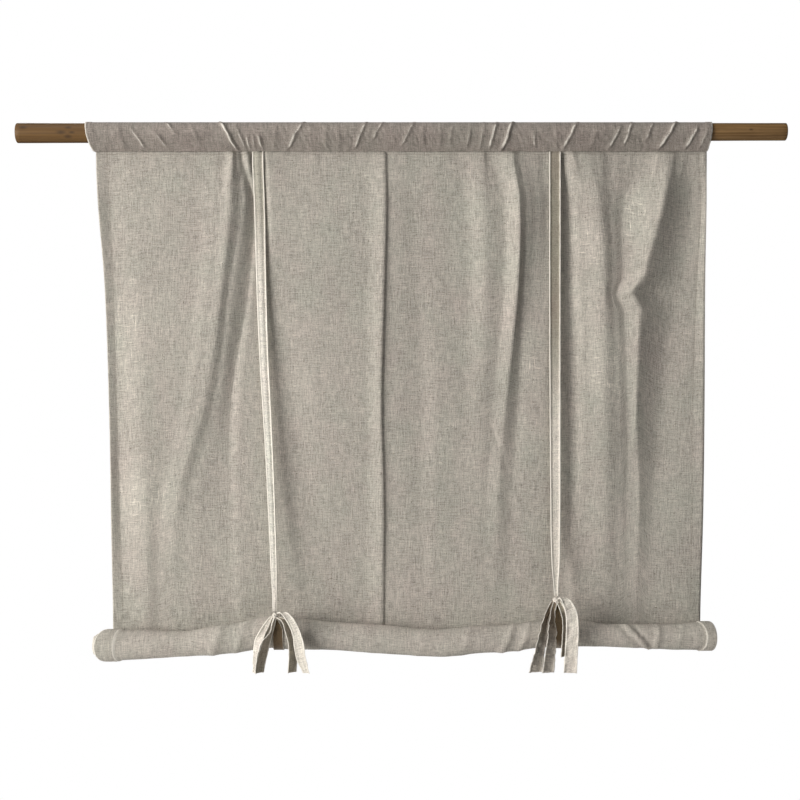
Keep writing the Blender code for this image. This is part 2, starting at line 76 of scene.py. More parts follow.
# %% Light
MIDDLE = (0.0, 0.0, -0.4)
SKY_POWER = 0.07
Lamp = namedtuple("Lamp", "name place size power colour")
LAMPS = (
    Lamp("window light", (-3.5, -2.55, -0.1), 2.4, 226.0, (1.0, 0.985, 0.965)),
    Lamp("skylight", (-0.9, -0.9, 2.3), 1.8, 30.0, (1.0, 0.99, 0.975)),
    Lamp("front fill", (0.8, -3.0, 0.3), 2.0, 9.0, (0.96, 0.98, 1.0)),
    Lamp("back fill", (-0.8, 2.4, 0.8), 2.0, 50.0, (1.0, 1.0, 1.0)),
)


def add_lamp(name, place, size, power, colour):
    lamp = bpy.data.lights.new(name, "AREA")
    lamp.size = size
    lamp.energy = power
    lamp.color = colour
    holder = bpy.data.objects.new(name, lamp)
    holder.location = place
    holder.rotation_euler = (Vector(MIDDLE) - Vector(place)).to_track_quat("-Z", "Y").to_euler()
    bpy.context.scene.collection.objects.link(holder)


for lamp in LAMPS:
    add_lamp(*lamp)

world = bpy.data.worlds.new("pale room")
world.use_nodes = True
bpy.context.scene.world = world
sky = world.node_tree.nodes["Background"]
sky.inputs["Color"].default_value = (1.0, 1.0, 1.0, 1.0)
seen = world.node_tree.nodes.new("ShaderNodeLightPath")
power = world.node_tree.nodes.new("ShaderNodeMapRange")
power.inputs["To Min"].default_value = SKY_POWER
power.inputs["To Max"].default_value = 1.0
world.node_tree.links.new(seen.outputs["Is Camera Ray"], power.inputs["Value"])
world.node_tree.links.new(power.outputs["Result"], sky.inputs["Strength"])

# %% [markdown]
# A curtain hangs in the air, so the floor lies well below it. It is only a pale plane.

# %% Floor
FLOOR_Z = -1.42
FLOOR_MIDDLE_Y = -0.35
FLOOR_HALF = (2.2, 1.0)
FLOOR_COLOUR = (0.8, 0.8, 0.79, 1.0)

builder = bmesh.new()
corners = [
    builder.verts.new((sx * FLOOR_HALF[0], sy * FLOOR_HALF[1] + FLOOR_MIDDLE_Y, FLOOR_Z))
    for sx, sy in ((-1, -1), (1, -1), (1, 1), (-1, 1))
]
builder.faces.new(corners)
floor_mesh = bpy.data.meshes.new("floor")
builder.to_mesh(floor_mesh)
builder.free()
floor = bpy.data.objects.new("floor", floor_mesh)
bpy.context.scene.collection.objects.link(floor)
floor_paint = bpy.data.materials.new("floor paint")
floor_paint.use_nodes = True
paint = floor_paint.node_tree.nodes["Principled BSDF"]
paint.inputs["Base Color"].default_value = FLOOR_COLOUR
paint.inputs["Roughness"].default_value = 0.8
floor_mesh.materials.append(floor_paint)
print("floor at", FLOOR_Z, "m")

# %% [markdown]
# Every finish below is drawn from coordinates that lie on the cloth itself, in metres, so
# threads keep their size and follow each bend. Small helpers keep the node code short.

# %% Node helpers
def join(tree, source, target):
    tree.links.new(source, target)


def feed(tree, value, socket):
    """Put a number, a vector or another node's output into a socket."""
    if isinstance(value, bpy.types.NodeSocket):
        join(tree, value, socket)
    else:
        socket.default_value = value


def maths(tree, operation, *values):
    node = tree.nodes.new("ShaderNodeMath")
    node.operation = operation
    for value, socket in zip(values, node.inputs):
        feed(tree, value, socket)
    return node.outputs[0]


def map_range(tree, value, low, high, to_low=0.0, to_high=1.0, smooth=False):
    node = tree.nodes.new("ShaderNodeMapRange")
    node.interpolation_type = "SMOOTHSTEP" if smooth else "LINEAR"
    names = ("Value", "From Min", "From Max", "To Min", "To Max")
    for name, number in zip(names, (value, low, high, to_low, to_high)):
        feed(tree, number, node.inputs[name])
    return node.outputs["Result"]


def stretched_noise(tree, place, sizes, detail=1.0, roughness=0.5, shift=0.0):
    """Noise whose spots measure sizes, in metres, along the three coordinates."""
    scale = tree.nodes.new("ShaderNodeVectorMath")
    scale.operation = "MULTIPLY_ADD"
    join(tree, place, scale.inputs[0])
    scale.inputs[1].default_value = tuple(1.0 / size for size in sizes)
    scale.inputs[2].default_value = (shift, shift * 1.7, shift * 0.6)
    spots = tree.nodes.new("ShaderNodeTexNoise")
    spots.inputs["Scale"].default_value = 1.0
    spots.inputs["Detail"].default_value = detail
    spots.inputs["Roughness"].default_value = roughness
    join(tree, scale.outputs[0], spots.inputs["Vector"])
    return spots.outputs[0]


def split_axes(tree, place):
    """The three coordinates of a place, as three outputs."""
    apart = tree.nodes.new("ShaderNodeSeparateXYZ")
    join(tree, place, apart.inputs[0])
    return apart.outputs


def blend_colours(tree, share, first, second, mode="MIX"):
    node = tree.nodes.new("ShaderNodeMix")
    node.data_type = "RGBA"
    node.blend_type = mode
    feed(tree, share, node.inputs[0])
    feed(tree, first, node.inputs[6])
    feed(tree, second, node.inputs[7])
    return node.outputs[2]


def new_group(name, inputs, outputs):
    group = bpy.data.node_groups.new(name, "ShaderNodeTree")
    for title, kind, value in inputs:
        socket = group.interface.new_socket(title, in_out="INPUT", socket_type=kind)
        if value is not None:
            socket.default_value = value
    for title, kind in outputs:
        group.interface.new_socket(title, in_out="OUTPUT", socket_type=kind)
    ins = group.nodes.new("NodeGroupInput").outputs
    outs = group.nodes.new("NodeGroupOutput").inputs
    return group, ins, outs


def new_material(name):
    material = bpy.data.materials.new(name)
    material.use_nodes = True
    return material, material.node_tree, material.node_tree.nodes["Principled BSDF"]


def add_relief(tree, shader, height, strength, distance):
    relief = tree.nodes.new("ShaderNodeBump")
    relief.inputs["Strength"].default_value = strength
    relief.inputs["Distance"].default_value = distance
    join(tree, height, relief.inputs["Height"])
    join(tree, relief.outputs["Normal"], shader.inputs["Normal"])


FLOAT, VECTOR, COLOUR = "NodeSocketFloat", "NodeSocketVector", "NodeSocketColor"

# %% [markdown]
# Linen is woven from threads of uneven thickness. Up close each thread goes over and under
# the next. From further off the eye sees slubs, the thick stretches of a thread, as short
# streaks along and across the cloth, a cloudy tone between pinkish and greenish beige, and
# dark flecks of bark. One node group holds all of it, so that panel, heading, roll and
# ribbons are plainly the same cloth. Each pattern is noise of its own size, in metres.

# %% Linen weave group
Pattern = namedtuple("Pattern", "sizes detail roughness shift")
THREAD_BEND = Pattern((0.02, 0.02, 0.02), 1.0, 0.5, 0.0)
WARP = Pattern((0.0014, 0.021, 1.0), 2.0, 0.65, 3.1)
WEFT = Pattern((0.019, 0.0013, 1.0), 2.0, 0.65, 8.4)
FIBRES = Pattern((0.0019, 0.0019, 1.0), 2.0, 0.75, 1.3)
CLOUDS = Pattern((0.10, 0.13, 1.0), 3.0, 0.55, 5.5)
PATCHES = Pattern((0.009, 0.012, 1.0), 2.0, 0.6, 17.2)
THICK_WEFT = Pattern((0.016, 0.0016, 1.0), 1.0, 0.5, 33.0)
THICK_WARP = Pattern((0.0016, 0.018, 1.0), 1.0, 0.5, 41.0)
TINTS = Pattern((0.045, 0.07, 1.0), 2.0, 0.5, 27.4)
FLAT_FLECKS = Pattern((0.0040, 0.0011, 1.0), 1.0, 0.5, 12.7)
TALL_FLECKS = Pattern((0.0011, 0.0045, 1.0), 1.0, 0.5, 21.9)
THREAD_WANDER = 5.0
TINT_STRENGTHS = (0.13, 0.0, 0.05)


def weave_pattern(group, place, spacing):
    """Threads that go over and under each other, pale on top and darker between, as painted shade.
    """
    across, down = split_axes(group, place)[:2]
    bend = stretched_noise(group, place, *THREAD_BEND)
    bend = maths(group, "MULTIPLY", bend, THREAD_WANDER)
    waves = []
    for axis in (across, down):
        count = maths(group, "DIVIDE", axis, spacing)
        waves.append(maths(group, "COSINE", maths(group, "MULTIPLY_ADD", count, math.pi, bend)))
    first, second = [maths(group, "ABSOLUTE", wave) for wave in waves]
    over = map_range(group, maths(group, "MULTIPLY", *waves), -0.25, 0.25)
    under = maths(group, "SUBTRACT", 1.0, over)
    return maths(
        group, "ADD",
        maths(group, "MULTIPLY", first, over),
        maths(group, "MULTIPLY", second, under),
    )


def build_linen_group():
    group, ins, outs = new_group(
        "linen weave",
        (
            ("Place", VECTOR, None), ("Thread Spacing", FLOAT, 0.0009), ("Slubs", FLOAT, 1.0),
            ("Flecks", FLOAT, 1.0), ("Pale Patch", FLOAT, 0.0), ("Cloth Colour", COLOUR, None),
            ("Fleck Colour", COLOUR, None),
        ),
        (("Colour", COLOUR), ("Height", FLOAT), ("Slub Mask", FLOAT)),
    )
    place = ins["Place"]
    weave = weave_pattern(group, place, ins["Thread Spacing"])
    warp = stretched_noise(group, place, *WARP)
    weft = stretched_noise(group, place, *WEFT)
    fine = stretched_noise(group, place, *FIBRES)
    cloud = stretched_noise(group, place, *CLOUDS)
    patch = stretched_noise(group, place, *PATCHES)
    slub = maths(group, "ADD", warp, weft)
    streaks = maths(group, "MULTIPLY", maths(group, "SUBTRACT", slub, 1.0), ins["Slubs"])
    tone = maths(group, "MULTIPLY_ADD", streaks, 1.15, 1.0)
    # The weave's darker gaps between threads are painted shade
    strengths = ((fine, 0.5, 0.95), (cloud, 0.5, 0.34), (patch, 0.5, 0.22), (weave, 0.7, 0.10))
    for pattern, middle, strength in strengths:
        swing = maths(group, "SUBTRACT", pattern, middle)
        tone = maths(group, "MULTIPLY_ADD", swing, strength, tone)
    thick_weft = stretched_noise(group, place, *THICK_WEFT)
    thick_warp = stretched_noise(group, place, *THICK_WARP)
    thick = maths(
        group, "MAXIMUM",
        map_range(group, thick_weft, 0.60, 0.78),
        map_range(group, thick_warp, 0.62, 0.80),
    )
    # Thick threads get a painted glint everywhere, stronger inside the Pale Patch mask, which also
    # adds painted light all over
    shine = maths(group, "MULTIPLY_ADD", ins["Pale Patch"], 0.55, 0.16)
    glint = maths(group, "MULTIPLY", thick, shine)
    tone = maths(group, "ADD", tone, maths(group, "MULTIPLY_ADD", ins["Pale Patch"], 0.10, glint))
    tint = stretched_noise(group, place, *TINTS)
    tint = maths(group, "SUBTRACT", tint, 0.5)
    tinted = group.nodes.new("ShaderNodeCombineColor")
    for socket, strength in zip(tinted.inputs, TINT_STRENGTHS):
        warmth = maths(group, "MULTIPLY_ADD", tint, strength, 1.0)
        join(group, maths(group, "MULTIPLY", tone, warmth), socket)
    woven = blend_colours(group, 1.0, ins["Cloth Colour"], tinted.outputs[0], "MULTIPLY")
    flat_flecks = stretched_noise(group, place, *FLAT_FLECKS)
    tall_flecks = stretched_noise(group, place, *TALL_FLECKS)
    flecks = maths(
        group, "MAXIMUM",
        map_range(group, flat_flecks, 0.70, 0.80),
        map_range(group, tall_flecks, 0.71, 0.81),
    )
    flecks = maths(group, "MULTIPLY", flecks, ins["Flecks"])
    join(group, blend_colours(group, flecks, woven, ins["Fleck Colour"]), outs["Colour"])
    height = maths(group, "MULTIPLY_ADD", slub, 0.9, maths(group, "MULTIPLY", weave, 0.35))
    join(group, maths(group, "MULTIPLY_ADD", fine, 0.5, height), outs["Height"])
    join(group, map_range(group, slub, 1.05, 1.4), outs["Slub Mask"])
    return group


linen_weave = build_linen_group()
print("group", linen_weave.name, "with", len(linen_weave.nodes), "nodes")

# %% [markdown]
# Two UV maps carry the places. "cloth" is where a point lies on the flat cloth, and "edge"
# is how far it is from the nearest side edge. Along a folded edge a cream line is painted
# as a highlight, on the ribbons and the hems, and the heading's gathers and the knots' wraps
# get the same painted highlight.

# %% Pale edge group
HIGHLIGHT_UNEVENNESS = Pattern((0.004, 0.012, 1.0), 2.0, 0.6, 4.0)


def build_edge_group():
    group, ins, outs = new_group(
        "painted edge highlight",
        (
            ("Edge Place", VECTOR, None), ("Width", FLOAT, 0.001), ("Strength", FLOAT, 1.0),
            ("Colour", COLOUR, None), ("Edge Colour", COLOUR, None),
        ),
        (("Colour", COLOUR),),
    )
    from_edge = split_axes(group, ins["Edge Place"])[0]
    # A cream line of uneven width along the edge: a painted highlight
    uneven = stretched_noise(group, ins["Edge Place"], *HIGHLIGHT_UNEVENNESS)
    reach = maths(group, "MULTIPLY", ins["Width"], map_range(group, uneven, 0.3, 0.7, 0.7, 1.3))
    near = maths(group, "SUBTRACT", 1.0, maths(group, "DIVIDE", from_edge, reach))
    mask = maths(group, "MULTIPLY", map_range(group, near, 0.0, 0.6), ins["Strength"])
    join(group, blend_colours(group, mask, ins["Colour"], ins["Edge Colour"]), outs["Colour"])
    return group


edge_highlight = build_edge_group()
print("group", edge_highlight.name)

# %% [markdown]
# The pieces aren't equally pale: the ribbons are given a lighter colour than the heading,
# whose darker colour is painted shade, and parts of the ribbons that lie in deep shade carry
# painted shade. So each piece gets its own colour over the same weave. A few patches of the
# panel get painted light, where light shows through the thin cloth.

# %% Linen materials
FLECK_COLOUR = (0.075, 0.055, 0.035, 1.0)
EDGE_HIGHLIGHT_COLOUR = (0.86, 0.81, 0.72, 1.0)


def read_map(tree, name):
    node = tree.nodes.new("ShaderNodeUVMap")
    node.uv_map = name
    return node.outputs["UV"]


def place_group(tree, group, **values):
    node = tree.nodes.new("ShaderNodeGroup")
    node.node_tree = group
    for title, value in values.items():
        feed(tree, value, node.inputs[title.replace("_", " ")])
    return node.outputs


THREAD_RELIEF = 0.0009
# Painted shade: what is left of each colour part at a ribbon's darker end, and where it runs, in m
Shade = namedtuple("Shade", "left_over start stop")
# Patches of the panel that get painted light, where light shows through the thin cloth
GlowPatch = namedtuple("GlowPatch", "x down half_x half_down")
PATCH_FADE = 1.6
PANEL_GLOW_PATCHES = (
    GlowPatch(-0.442, 0.310, 0.022, 0.110), GlowPatch(0.298, 0.150, 0.030, 0.036),
    GlowPatch(0.322, 0.350, 0.036, 0.062), GlowPatch(0.205, 0.330, 0.020, 0.060),
    GlowPatch(-0.400, 0.560, 0.060, 0.070), GlowPatch(0.370, 0.110, 0.020, 0.050),
)


def glow_patch_mask(tree, place, patches):
    """How far inside any of the patches of painted light a place on the cloth is."""
    x, y = split_axes(tree, place)[:2]
    down = maths(tree, "MULTIPLY", y, -1.0)
    mask = 0.0
    for patch in patches:
        squares = []
        ways = ((x, patch.x, patch.half_x), (down, patch.down, patch.half_down))
        for coordinate, middle, half in ways:
            share = maths(tree, "DIVIDE", maths(tree, "SUBTRACT", coordinate, middle), half)
            squares.append(maths(tree, "MULTIPLY", share, share))
        away = maths(tree, "ADD", *squares)
        mask = maths(tree, "MAXIMUM", mask, map_range(tree, away, PATCH_FADE, 0.0, smooth=True))
    return mask


def shaded_base(tree, place, colour, shade):
    """The cloth's colour with painted shade, darker at one end of a ribbon."""
    along = maths(tree, "MULTIPLY", split_axes(tree, place)[1], -1.0)
    share = map_range(tree, along, shade.start, shade.stop, smooth=True)
    dark = tuple(left * part for left, part in zip(shade.left_over, colour))
    return blend_colours(tree, share, (*dark, 1.0), (*colour, 1.0))


def make_linen(
    name, colour, edge_width, edge_strength, slubs=1.0, bump=0.8, shade=None, patches=()
):
    material, tree, shader = new_material(name)
    place = read_map(tree, "cloth")
    base = shaded_base(tree, place, colour, shade) if shade else (*colour, 1.0)
    cloth = place_group(
        tree, linen_weave, Place=place, Slubs=slubs, Cloth_Colour=base, Fleck_Colour=FLECK_COLOUR,
        Pale_Patch=glow_patch_mask(tree, place, patches),
    )
    rim = place_group(
        tree, edge_highlight, Edge_Place=read_map(tree, "edge"), Width=edge_width,
        Strength=edge_strength, Colour=cloth["Colour"], Edge_Colour=EDGE_HIGHLIGHT_COLOUR,
    )
    join(tree, rim["Colour"], shader.inputs["Base Color"])
    roughness = map_range(tree, cloth["Slub Mask"], 0.0, 1.0, 0.92, 0.8)
    join(tree, roughness, shader.inputs["Roughness"])
    add_relief(tree, shader, cloth["Height"], bump, THREAD_RELIEF)
    shader.inputs["Sheen Weight"].default_value = 0.08
    shader.inputs["Sheen Roughness"].default_value = 0.6
    shader.inputs["Specular IOR Level"].default_value = 0.25
    return material


panel_linen = make_linen("panel linen", (0.450, 0.415, 0.360), 0.0012, 0.5, patches=PANEL_GLOW_PATCHES)
# The heading is the same cloth; its darker colour is painted shade.
heading_linen_painted_shade = make_linen("heading linen with painted shade", (0.312, 0.272, 0.238), 0.0020, 0.75)
roll_linen = make_linen("roll linen", (0.456, 0.419, 0.365), 0.0017, 0.75)
# The front strips' darker tops are painted shade.
left_strip_linen_painted_shade = make_linen(
    "left strip linen with painted shade", (0.80, 0.75, 0.66), 0.0014, 1.0, 0.6,
    shade=Shade((0.62, 0.61, 0.58), 0.06, 0.24),
)
right_strip_linen_painted_shade = make_linen(
    "right strip linen with painted shade", (0.72, 0.665, 0.58), 0.0019, 1.0, 0.6,
    shade=Shade((0.46, 0.44, 0.40), 0.24, 0.48),
)
bow_linen = make_linen("bow linen", (0.66, 0.615, 0.54), 0.0015, 1.0, 0.9)
# A darker copy of the bow linen, painted shade, for strands turned away from the lamp.
bow_linen_painted_shade = make_linen("bow linen with painted shade", (0.42, 0.365, 0.285), 0.0015, 1.0, 0.9)
# The right bow's left strands are crumpled, and darker at their tops by painted shade.
crumpled_linen_painted_shade = make_linen(
    "crumpled bow linen", (0.60, 0.54, 0.465), 0.0015, 0.9, 0.9, 1.6,
    shade=Shade((0.52, 0.44, 0.35), 0.02, 0.08),
)
# The back strips' front part, under the bows, is darkened by painted shade.
back_strip_linen_painted_shade = make_linen(
    "back strip linen with painted shade", (0.55, 0.505, 0.435), 0.0012, 0.6, 0.6,
    shade=Shade((0.22, 0.165, 0.10), 0.84, 0.80),
)
print("linen materials", [m.name for m in bpy.data.materials if "linen" in m.name])

# %% [markdown]
# Sewing thread is a little paler than the cloth and has a faint twist. A darker copy, painted
# shade, is sewn into the panel's hems and seam.

# %% Thread material
def make_thread(name, colour):
    material, tree, shader = new_material(name)
    where = tree.nodes.new("ShaderNodeTexCoord").outputs["Object"]
    strands = stretched_noise(tree, where, (0.0008, 0.0008, 0.0008), 1.0)
    dark = tuple(0.7 * part for part in colour)
    twisted = blend_colours(tree, strands, (*dark, 1.0), (*colour, 1.0))
    join(tree, twisted, shader.inputs["Base Color"])
    shader.inputs["Roughness"].default_value = 0.7
    return material


cream_thread = make_thread("cream thread", (0.62, 0.56, 0.47))
# The darker copy is painted shade.
thread_painted_shade = make_thread("shaded thread", (0.30, 0.26, 0.21))

# %% [markdown]
# The rod is brown stained wood. Its grain is noise stretched some sixty times along the
# rod, the stain is deeper on the left, and a knot is a dark spot, long along the grain.

# %% Wood grain group and material
Knot = namedtuple("Knot", "x z size")
KNOTS = (
    Knot(-541.0, -2.5, 4.5), Knot(-530.0, 5.4, 3.4), Knot(-530.5, -9.0, 4.0),
    Knot(-524.0, -2.6, 3.0), Knot(-602.0, 5.4, 4.5), Knot(556.0, 2.0, 2.2),
)
KNOT_STRETCH = 0.45
KNOT_FADE = 1.1
KNOT_STRENGTH = 0.7
KNOT_COLOUR = (0.035, 0.018, 0.008, 1.0)
STAIN_LEFT = (0.162, 0.085, 0.024, 1.0)
STAIN_RIGHT = (0.330, 0.195, 0.078, 1.0)
DARK_WOOD = (0.080, 0.039, 0.012, 1.0)
GRAIN_BEND = Pattern((0.16, 0.02, 0.02), 2.0, 0.5, 2.0)
GRAIN_LINES = Pattern((0.20, 0.0032, 0.0032), 4.0, 0.65, 7.0)
PORES = Pattern((0.012, 0.0007, 0.0007), 2.0, 0.6, 15.0)


def build_wood_group():
    group, ins, outs = new_group(
        "stained wood grain",
        (
            ("Place", VECTOR, None), ("Light Wood", COLOUR, None),
            ("Dark Wood", COLOUR, None), ("Knot Mask", FLOAT, 0.0),
        ),
        (("Colour", COLOUR), ("Height", FLOAT)),
    )
    bend = stretched_noise(group, ins["Place"], *GRAIN_BEND)
    lines = stretched_noise(group, ins["Place"], *GRAIN_LINES)
    pores = stretched_noise(group, ins["Place"], *PORES)
    share = maths(group, "MULTIPLY_ADD", bend, 0.55, maths(group, "MULTIPLY", lines, 0.75))
    share = map_range(group, share, 0.42, 0.86)
    wood = blend_colours(group, share, ins["Dark Wood"], ins["Light Wood"])
    pore_mask = map_range(group, pores, 0.60, 0.72, 0.0, 0.5)
    wood = blend_colours(group, pore_mask, wood, ins["Dark Wood"])
    join(group, blend_colours(group, ins["Knot Mask"], wood, KNOT_COLOUR), outs["Colour"])
    height = maths(group, "SUBTRACT", lines, maths(group, "MULTIPLY", pore_mask, 0.6))
    join(group, height, outs["Height"])
    return group


def knot_marks(tree, x, y, z):
    """Dark spots on the rod's front. Its coordinates are in metres, the table's in mm."""
    marks = 0.0
    for knot in KNOTS:
        side = maths(tree, "MULTIPLY", maths(tree, "SUBTRACT", x, knot.x * MM), KNOT_STRETCH)
        rise = maths(tree, "SUBTRACT", z, knot.z * MM)
        squares = [maths(tree, "MULTIPLY", way, way) for way in (side, rise)]
        away = maths(tree, "SQRT", maths(tree, "ADD", *squares))
        spot = map_range(tree, away, knot.size * MM * KNOT_FADE, 0.0, smooth=True)
        marks = maths(tree, "MAXIMUM", marks, spot)
    front = map_range(tree, y, -0.002, -0.008)
    return maths(tree, "MULTIPLY", maths(tree, "MULTIPLY", marks, front), KNOT_STRENGTH)


def make_wood():
    material, tree, shader = new_material("stained wood")
    where = tree.nodes.new("ShaderNodeTexCoord").outputs["Object"]
    x, y, z = split_axes(tree, where)[:3]
    stain = blend_colours(tree, map_range(tree, x, -0.45, 0.45), STAIN_LEFT, STAIN_RIGHT)
    grain = place_group(
        tree, build_wood_group(), Place=where, Light_Wood=stain,
        Dark_Wood=DARK_WOOD, Knot_Mask=knot_marks(tree, x, y, z),
    )
    join(tree, grain["Colour"], shader.inputs["Base Color"])
    shader.inputs["Roughness"].default_value = 0.52
    shader.inputs["Specular IOR Level"].default_value = 0.3
    add_relief(tree, shader, grain["Height"], 0.4, 0.0006)
    return material


stained_wood = make_wood()
print("wood with", len(KNOTS), "knots")

# %% [markdown]
# The folds are written down as short tables, as a draughtsman would note them: where a line
# lies at a few heights, and how far it stands out. A smooth curve through such a table gives
# any place between. It is the same curve that shaped the solids, so the cloth lies on them.

# %% Reading tables
def smooth(places, values, at):
    """Read a smooth curve through a table, held level past both ends. Works on arrays."""
    places, values = np.asarray(places, float), np.asarray(values, float)
    if places[0] > places[-1]:
        places, values = places[::-1], values[::-1]
    slope = np.zeros_like(values)
    slope[1:-1] = (values[2:] - values[:-2]) / (places[2:] - places[:-2])
    at = np.clip(at, places[0], places[-1])
    index = np.clip(np.searchsorted(places, at) - 1, 0, len(places) - 2)
    span = places[index + 1] - places[index]
    t = (at - places[index]) / span
    return (
        (2 * t**3 - 3 * t**2 + 1) * values[index]
        + (t**3 - 2 * t**2 + t) * slope[index] * span
        + (3 * t**2 - 2 * t**3) * values[index + 1]
        + (t**3 - t**2) * slope[index + 1] * span
    )


def mix(first, second, share):
    return first + (second - first) * share


def soft_step(share):
    share = np.clip(share, 0.0, 1.0)
    return share * share * (3.0 - 2.0 * share)


def wander(x, z, size, seed):
    """Gentle unevenness, about -1 to 1, with waves of the given size in mm."""
    flat_x, flat_z = np.ravel(x) / size, np.ravel(z) / size
    values = [noise.noise((a, b, seed)) for a, b in zip(flat_x, flat_z)]
    return np.reshape(values, np.shape(x))


def layered(x, z, waves):
    """Waves of several sizes together. Each is a height, a size and a seed."""
    total = 0.0
    for height, size, seed in waves:
        total = total + height * wander(x, z, size, seed)
    return total


# %% [markdown]
# A sheet of cloth is a grid of points down its middle. Half its thickness goes to each side
# along the grid's own normals, and a rim closes the shell. Solidify could do this too, but
# here each point can have its own thickness, so hems and folded edges come out thicker.

# %% Sheet builder
def add_piece(name, mesh, material):
    mesh.materials.append(material)
    piece = bpy.data.objects.new(name, mesh)
    bpy.context.scene.collection.objects.link(piece)
    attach(piece, "root")
    return piece


def smooth_mesh(builder, name):
    mesh = bpy.data.meshes.new(name)
    builder.to_mesh(mesh)
    builder.free()
    mesh.shade_smooth()
    return mesh


def set_maps(mesh, cloth, edge):
    """Give a mesh its two maps, from values in metres for each of its points."""
    corner = np.empty(len(mesh.loops), dtype=np.int32)
    mesh.loops.foreach_get("vertex_index", corner)
    for title, values in (("cloth", cloth), ("edge", edge)):
        layer = mesh.uv_layers.new(name=title)
        layer.uv.foreach_set("vector", values[corner].astype(np.float32).ravel())


def grid_normals(points):
    across = np.gradient(points, axis=1)
    down = np.gradient(points, axis=0)
    normals = np.cross(down, across)
    return normals / np.maximum(np.linalg.norm(normals, axis=2, keepdims=True), 1e-9)


def build_sheet(name, points, front, back, cloth_map, edge_map, material):
    """points is rows x columns x 3 in mm; front and back are the thickness to each side."""
    rows, columns = points.shape[:2]
    normals = grid_normals(points)
    front = np.broadcast_to(front, (rows, columns))[..., None]
    back = np.broadcast_to(back, (rows, columns))[..., None]
    shell = np.concatenate([points + normals * front, points - normals * back]).reshape(-1, 3) * MM
    number = np.arange(rows * columns).reshape(rows, columns)
    behind = number + rows * columns
    a, b, c, d = number[:-1, :-1], number[1:, :-1], number[1:, 1:], number[:-1, 1:]
    quads = [np.stack([a, b, c, d], -1).reshape(-1, 4)]
    a, b, c, d = behind[:-1, :-1], behind[:-1, 1:], behind[1:, 1:], behind[1:, :-1]
    quads.append(np.stack([a, b, c, d], -1).reshape(-1, 4))
    for rim, reverse in ((0, False), (-1, True)):
        line, under = number[rim], behind[rim]
        strip = np.stack([line[:-1], line[1:], under[1:], under[:-1]], -1)
        quads.append(strip[:, ::-1] if reverse else strip)
        line, under = number[:, rim], behind[:, rim]
        strip = np.stack([line[1:], line[:-1], under[:-1], under[1:]], -1)
        quads.append(strip[:, ::-1] if reverse else strip)
    faces = np.concatenate(quads)
    mesh = bpy.data.meshes.new(name)
    mesh.from_pydata(shell.tolist(), [], faces.tolist())
    maps = [np.concatenate([values.reshape(-1, 2)] * 2) * MM for values in (cloth_map, edge_map)]
    set_maps(mesh, *maps)
    mesh.shade_smooth()
    print(name, len(faces) * 2, "triangles")
    return add_piece(name, mesh, material)


def lengths_along(points, axis):
    """How far along the cloth each point of a grid lies, in mm."""
    steps = np.linalg.norm(np.diff(points, axis=axis), axis=2)
    start = np.zeros_like(np.take(steps, [0], axis=axis))
    return np.concatenate([start, np.cumsum(steps, axis=axis)], axis=axis)


# %% [markdown]
# The rod is turned and slightly tapered, with its top edge level. It is a lathe shape with
# a slow wobble, because a stained stick from the sawmill is never quite round, and its ends
# are sawn square with a small worn edge.

# %% Rod
ROD_HALF_LENGTH = 615.0
ROD_TOP_Z = 15.0
ROD_RADIUS_LEFT = 16.0
ROD_RADIUS_RIGHT = 14.0
ROD_SIDES = 72
ROD_STEPS = 150
ROD_WAVE = 70.0
ROD_WOBBLE = 0.22
ROD_INSET = 0.2


def rod_radius(x):
    return mix(ROD_RADIUS_LEFT, ROD_RADIUS_RIGHT, (x + ROD_HALF_LENGTH) / (2 * ROD_HALF_LENGTH))


def rod_axis_z(x):
    return ROD_TOP_Z - rod_radius(x)


def build_rod():
    builder = bmesh.new()
    stations = [(-ROD_HALF_LENGTH, share, 0.0) for share in (0.25, 0.5, 0.75)]
    stations += [(-ROD_HALF_LENGTH, 1.0, -0.9), (-ROD_HALF_LENGTH + 0.4, 1.0, -0.3)]
    for step in range(ROD_STEPS + 1):
        x = mix(-ROD_HALF_LENGTH + 1.0, ROD_HALF_LENGTH - 1.0, step / ROD_STEPS)
        stations.append((x, 1.0, 0.0))
    stations += [(ROD_HALF_LENGTH - 0.4, 1.0, -0.3), (ROD_HALF_LENGTH, 1.0, -0.9)]
    stations += [(ROD_HALF_LENGTH, share, 0.0) for share in (0.75, 0.5, 0.25)]
    rings = []
    for x, share, inset in stations:
        ring = []
        for side in range(ROD_SIDES):
            angle = 2 * math.pi * side / ROD_SIDES
            uneven = noise.noise((x / ROD_WAVE, math.cos(angle), math.sin(angle)))
            uneven = uneven * ROD_WOBBLE - ROD_INSET
            reach = (rod_radius(x) + inset + uneven) * share
            z = rod_axis_z(x) + reach * math.sin(angle)
            ring.append(builder.verts.new((x * MM, reach * math.cos(angle) * MM, z * MM)))
        rings.append(ring)
    for before, after in zip(rings, rings[1:]):
        for side in range(ROD_SIDES):
            nxt = (side + 1) % ROD_SIDES
            builder.faces.new((before[side], after[side], after[nxt], before[nxt]))
    for ring, x in ((rings[0], -ROD_HALF_LENGTH), (rings[-1], ROD_HALF_LENGTH)):
        middle = builder.verts.new((x * MM, 0.0, rod_axis_z(x) * MM))
        for side in range(ROD_SIDES):
            builder.faces.new((ring[side], ring[(side + 1) % ROD_SIDES], middle))
    bmesh.ops.recalc_face_normals(builder, faces=builder.faces)
    mesh = smooth_mesh(builder, "turned rod")
    mesh.set_sharp_from_angle(angle=math.radians(50))
    piece = add_piece("turned_rod", mesh, stained_wood)
    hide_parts("rod")
    return piece


turned_rod = build_rod()
print("rod", 2 * ROD_HALF_LENGTH, "mm long,", len(turned_rod.data.polygons), "faces")

# %% [markdown]
# The panel is the hung stretch of cloth. Each fold is a line down it. The columns give, at
# six heights from the seam to the roll, where the line lies and how far it stands out, and
# the last number is how pointed the line is, from 0 for a soft swell to 1 for a crease.

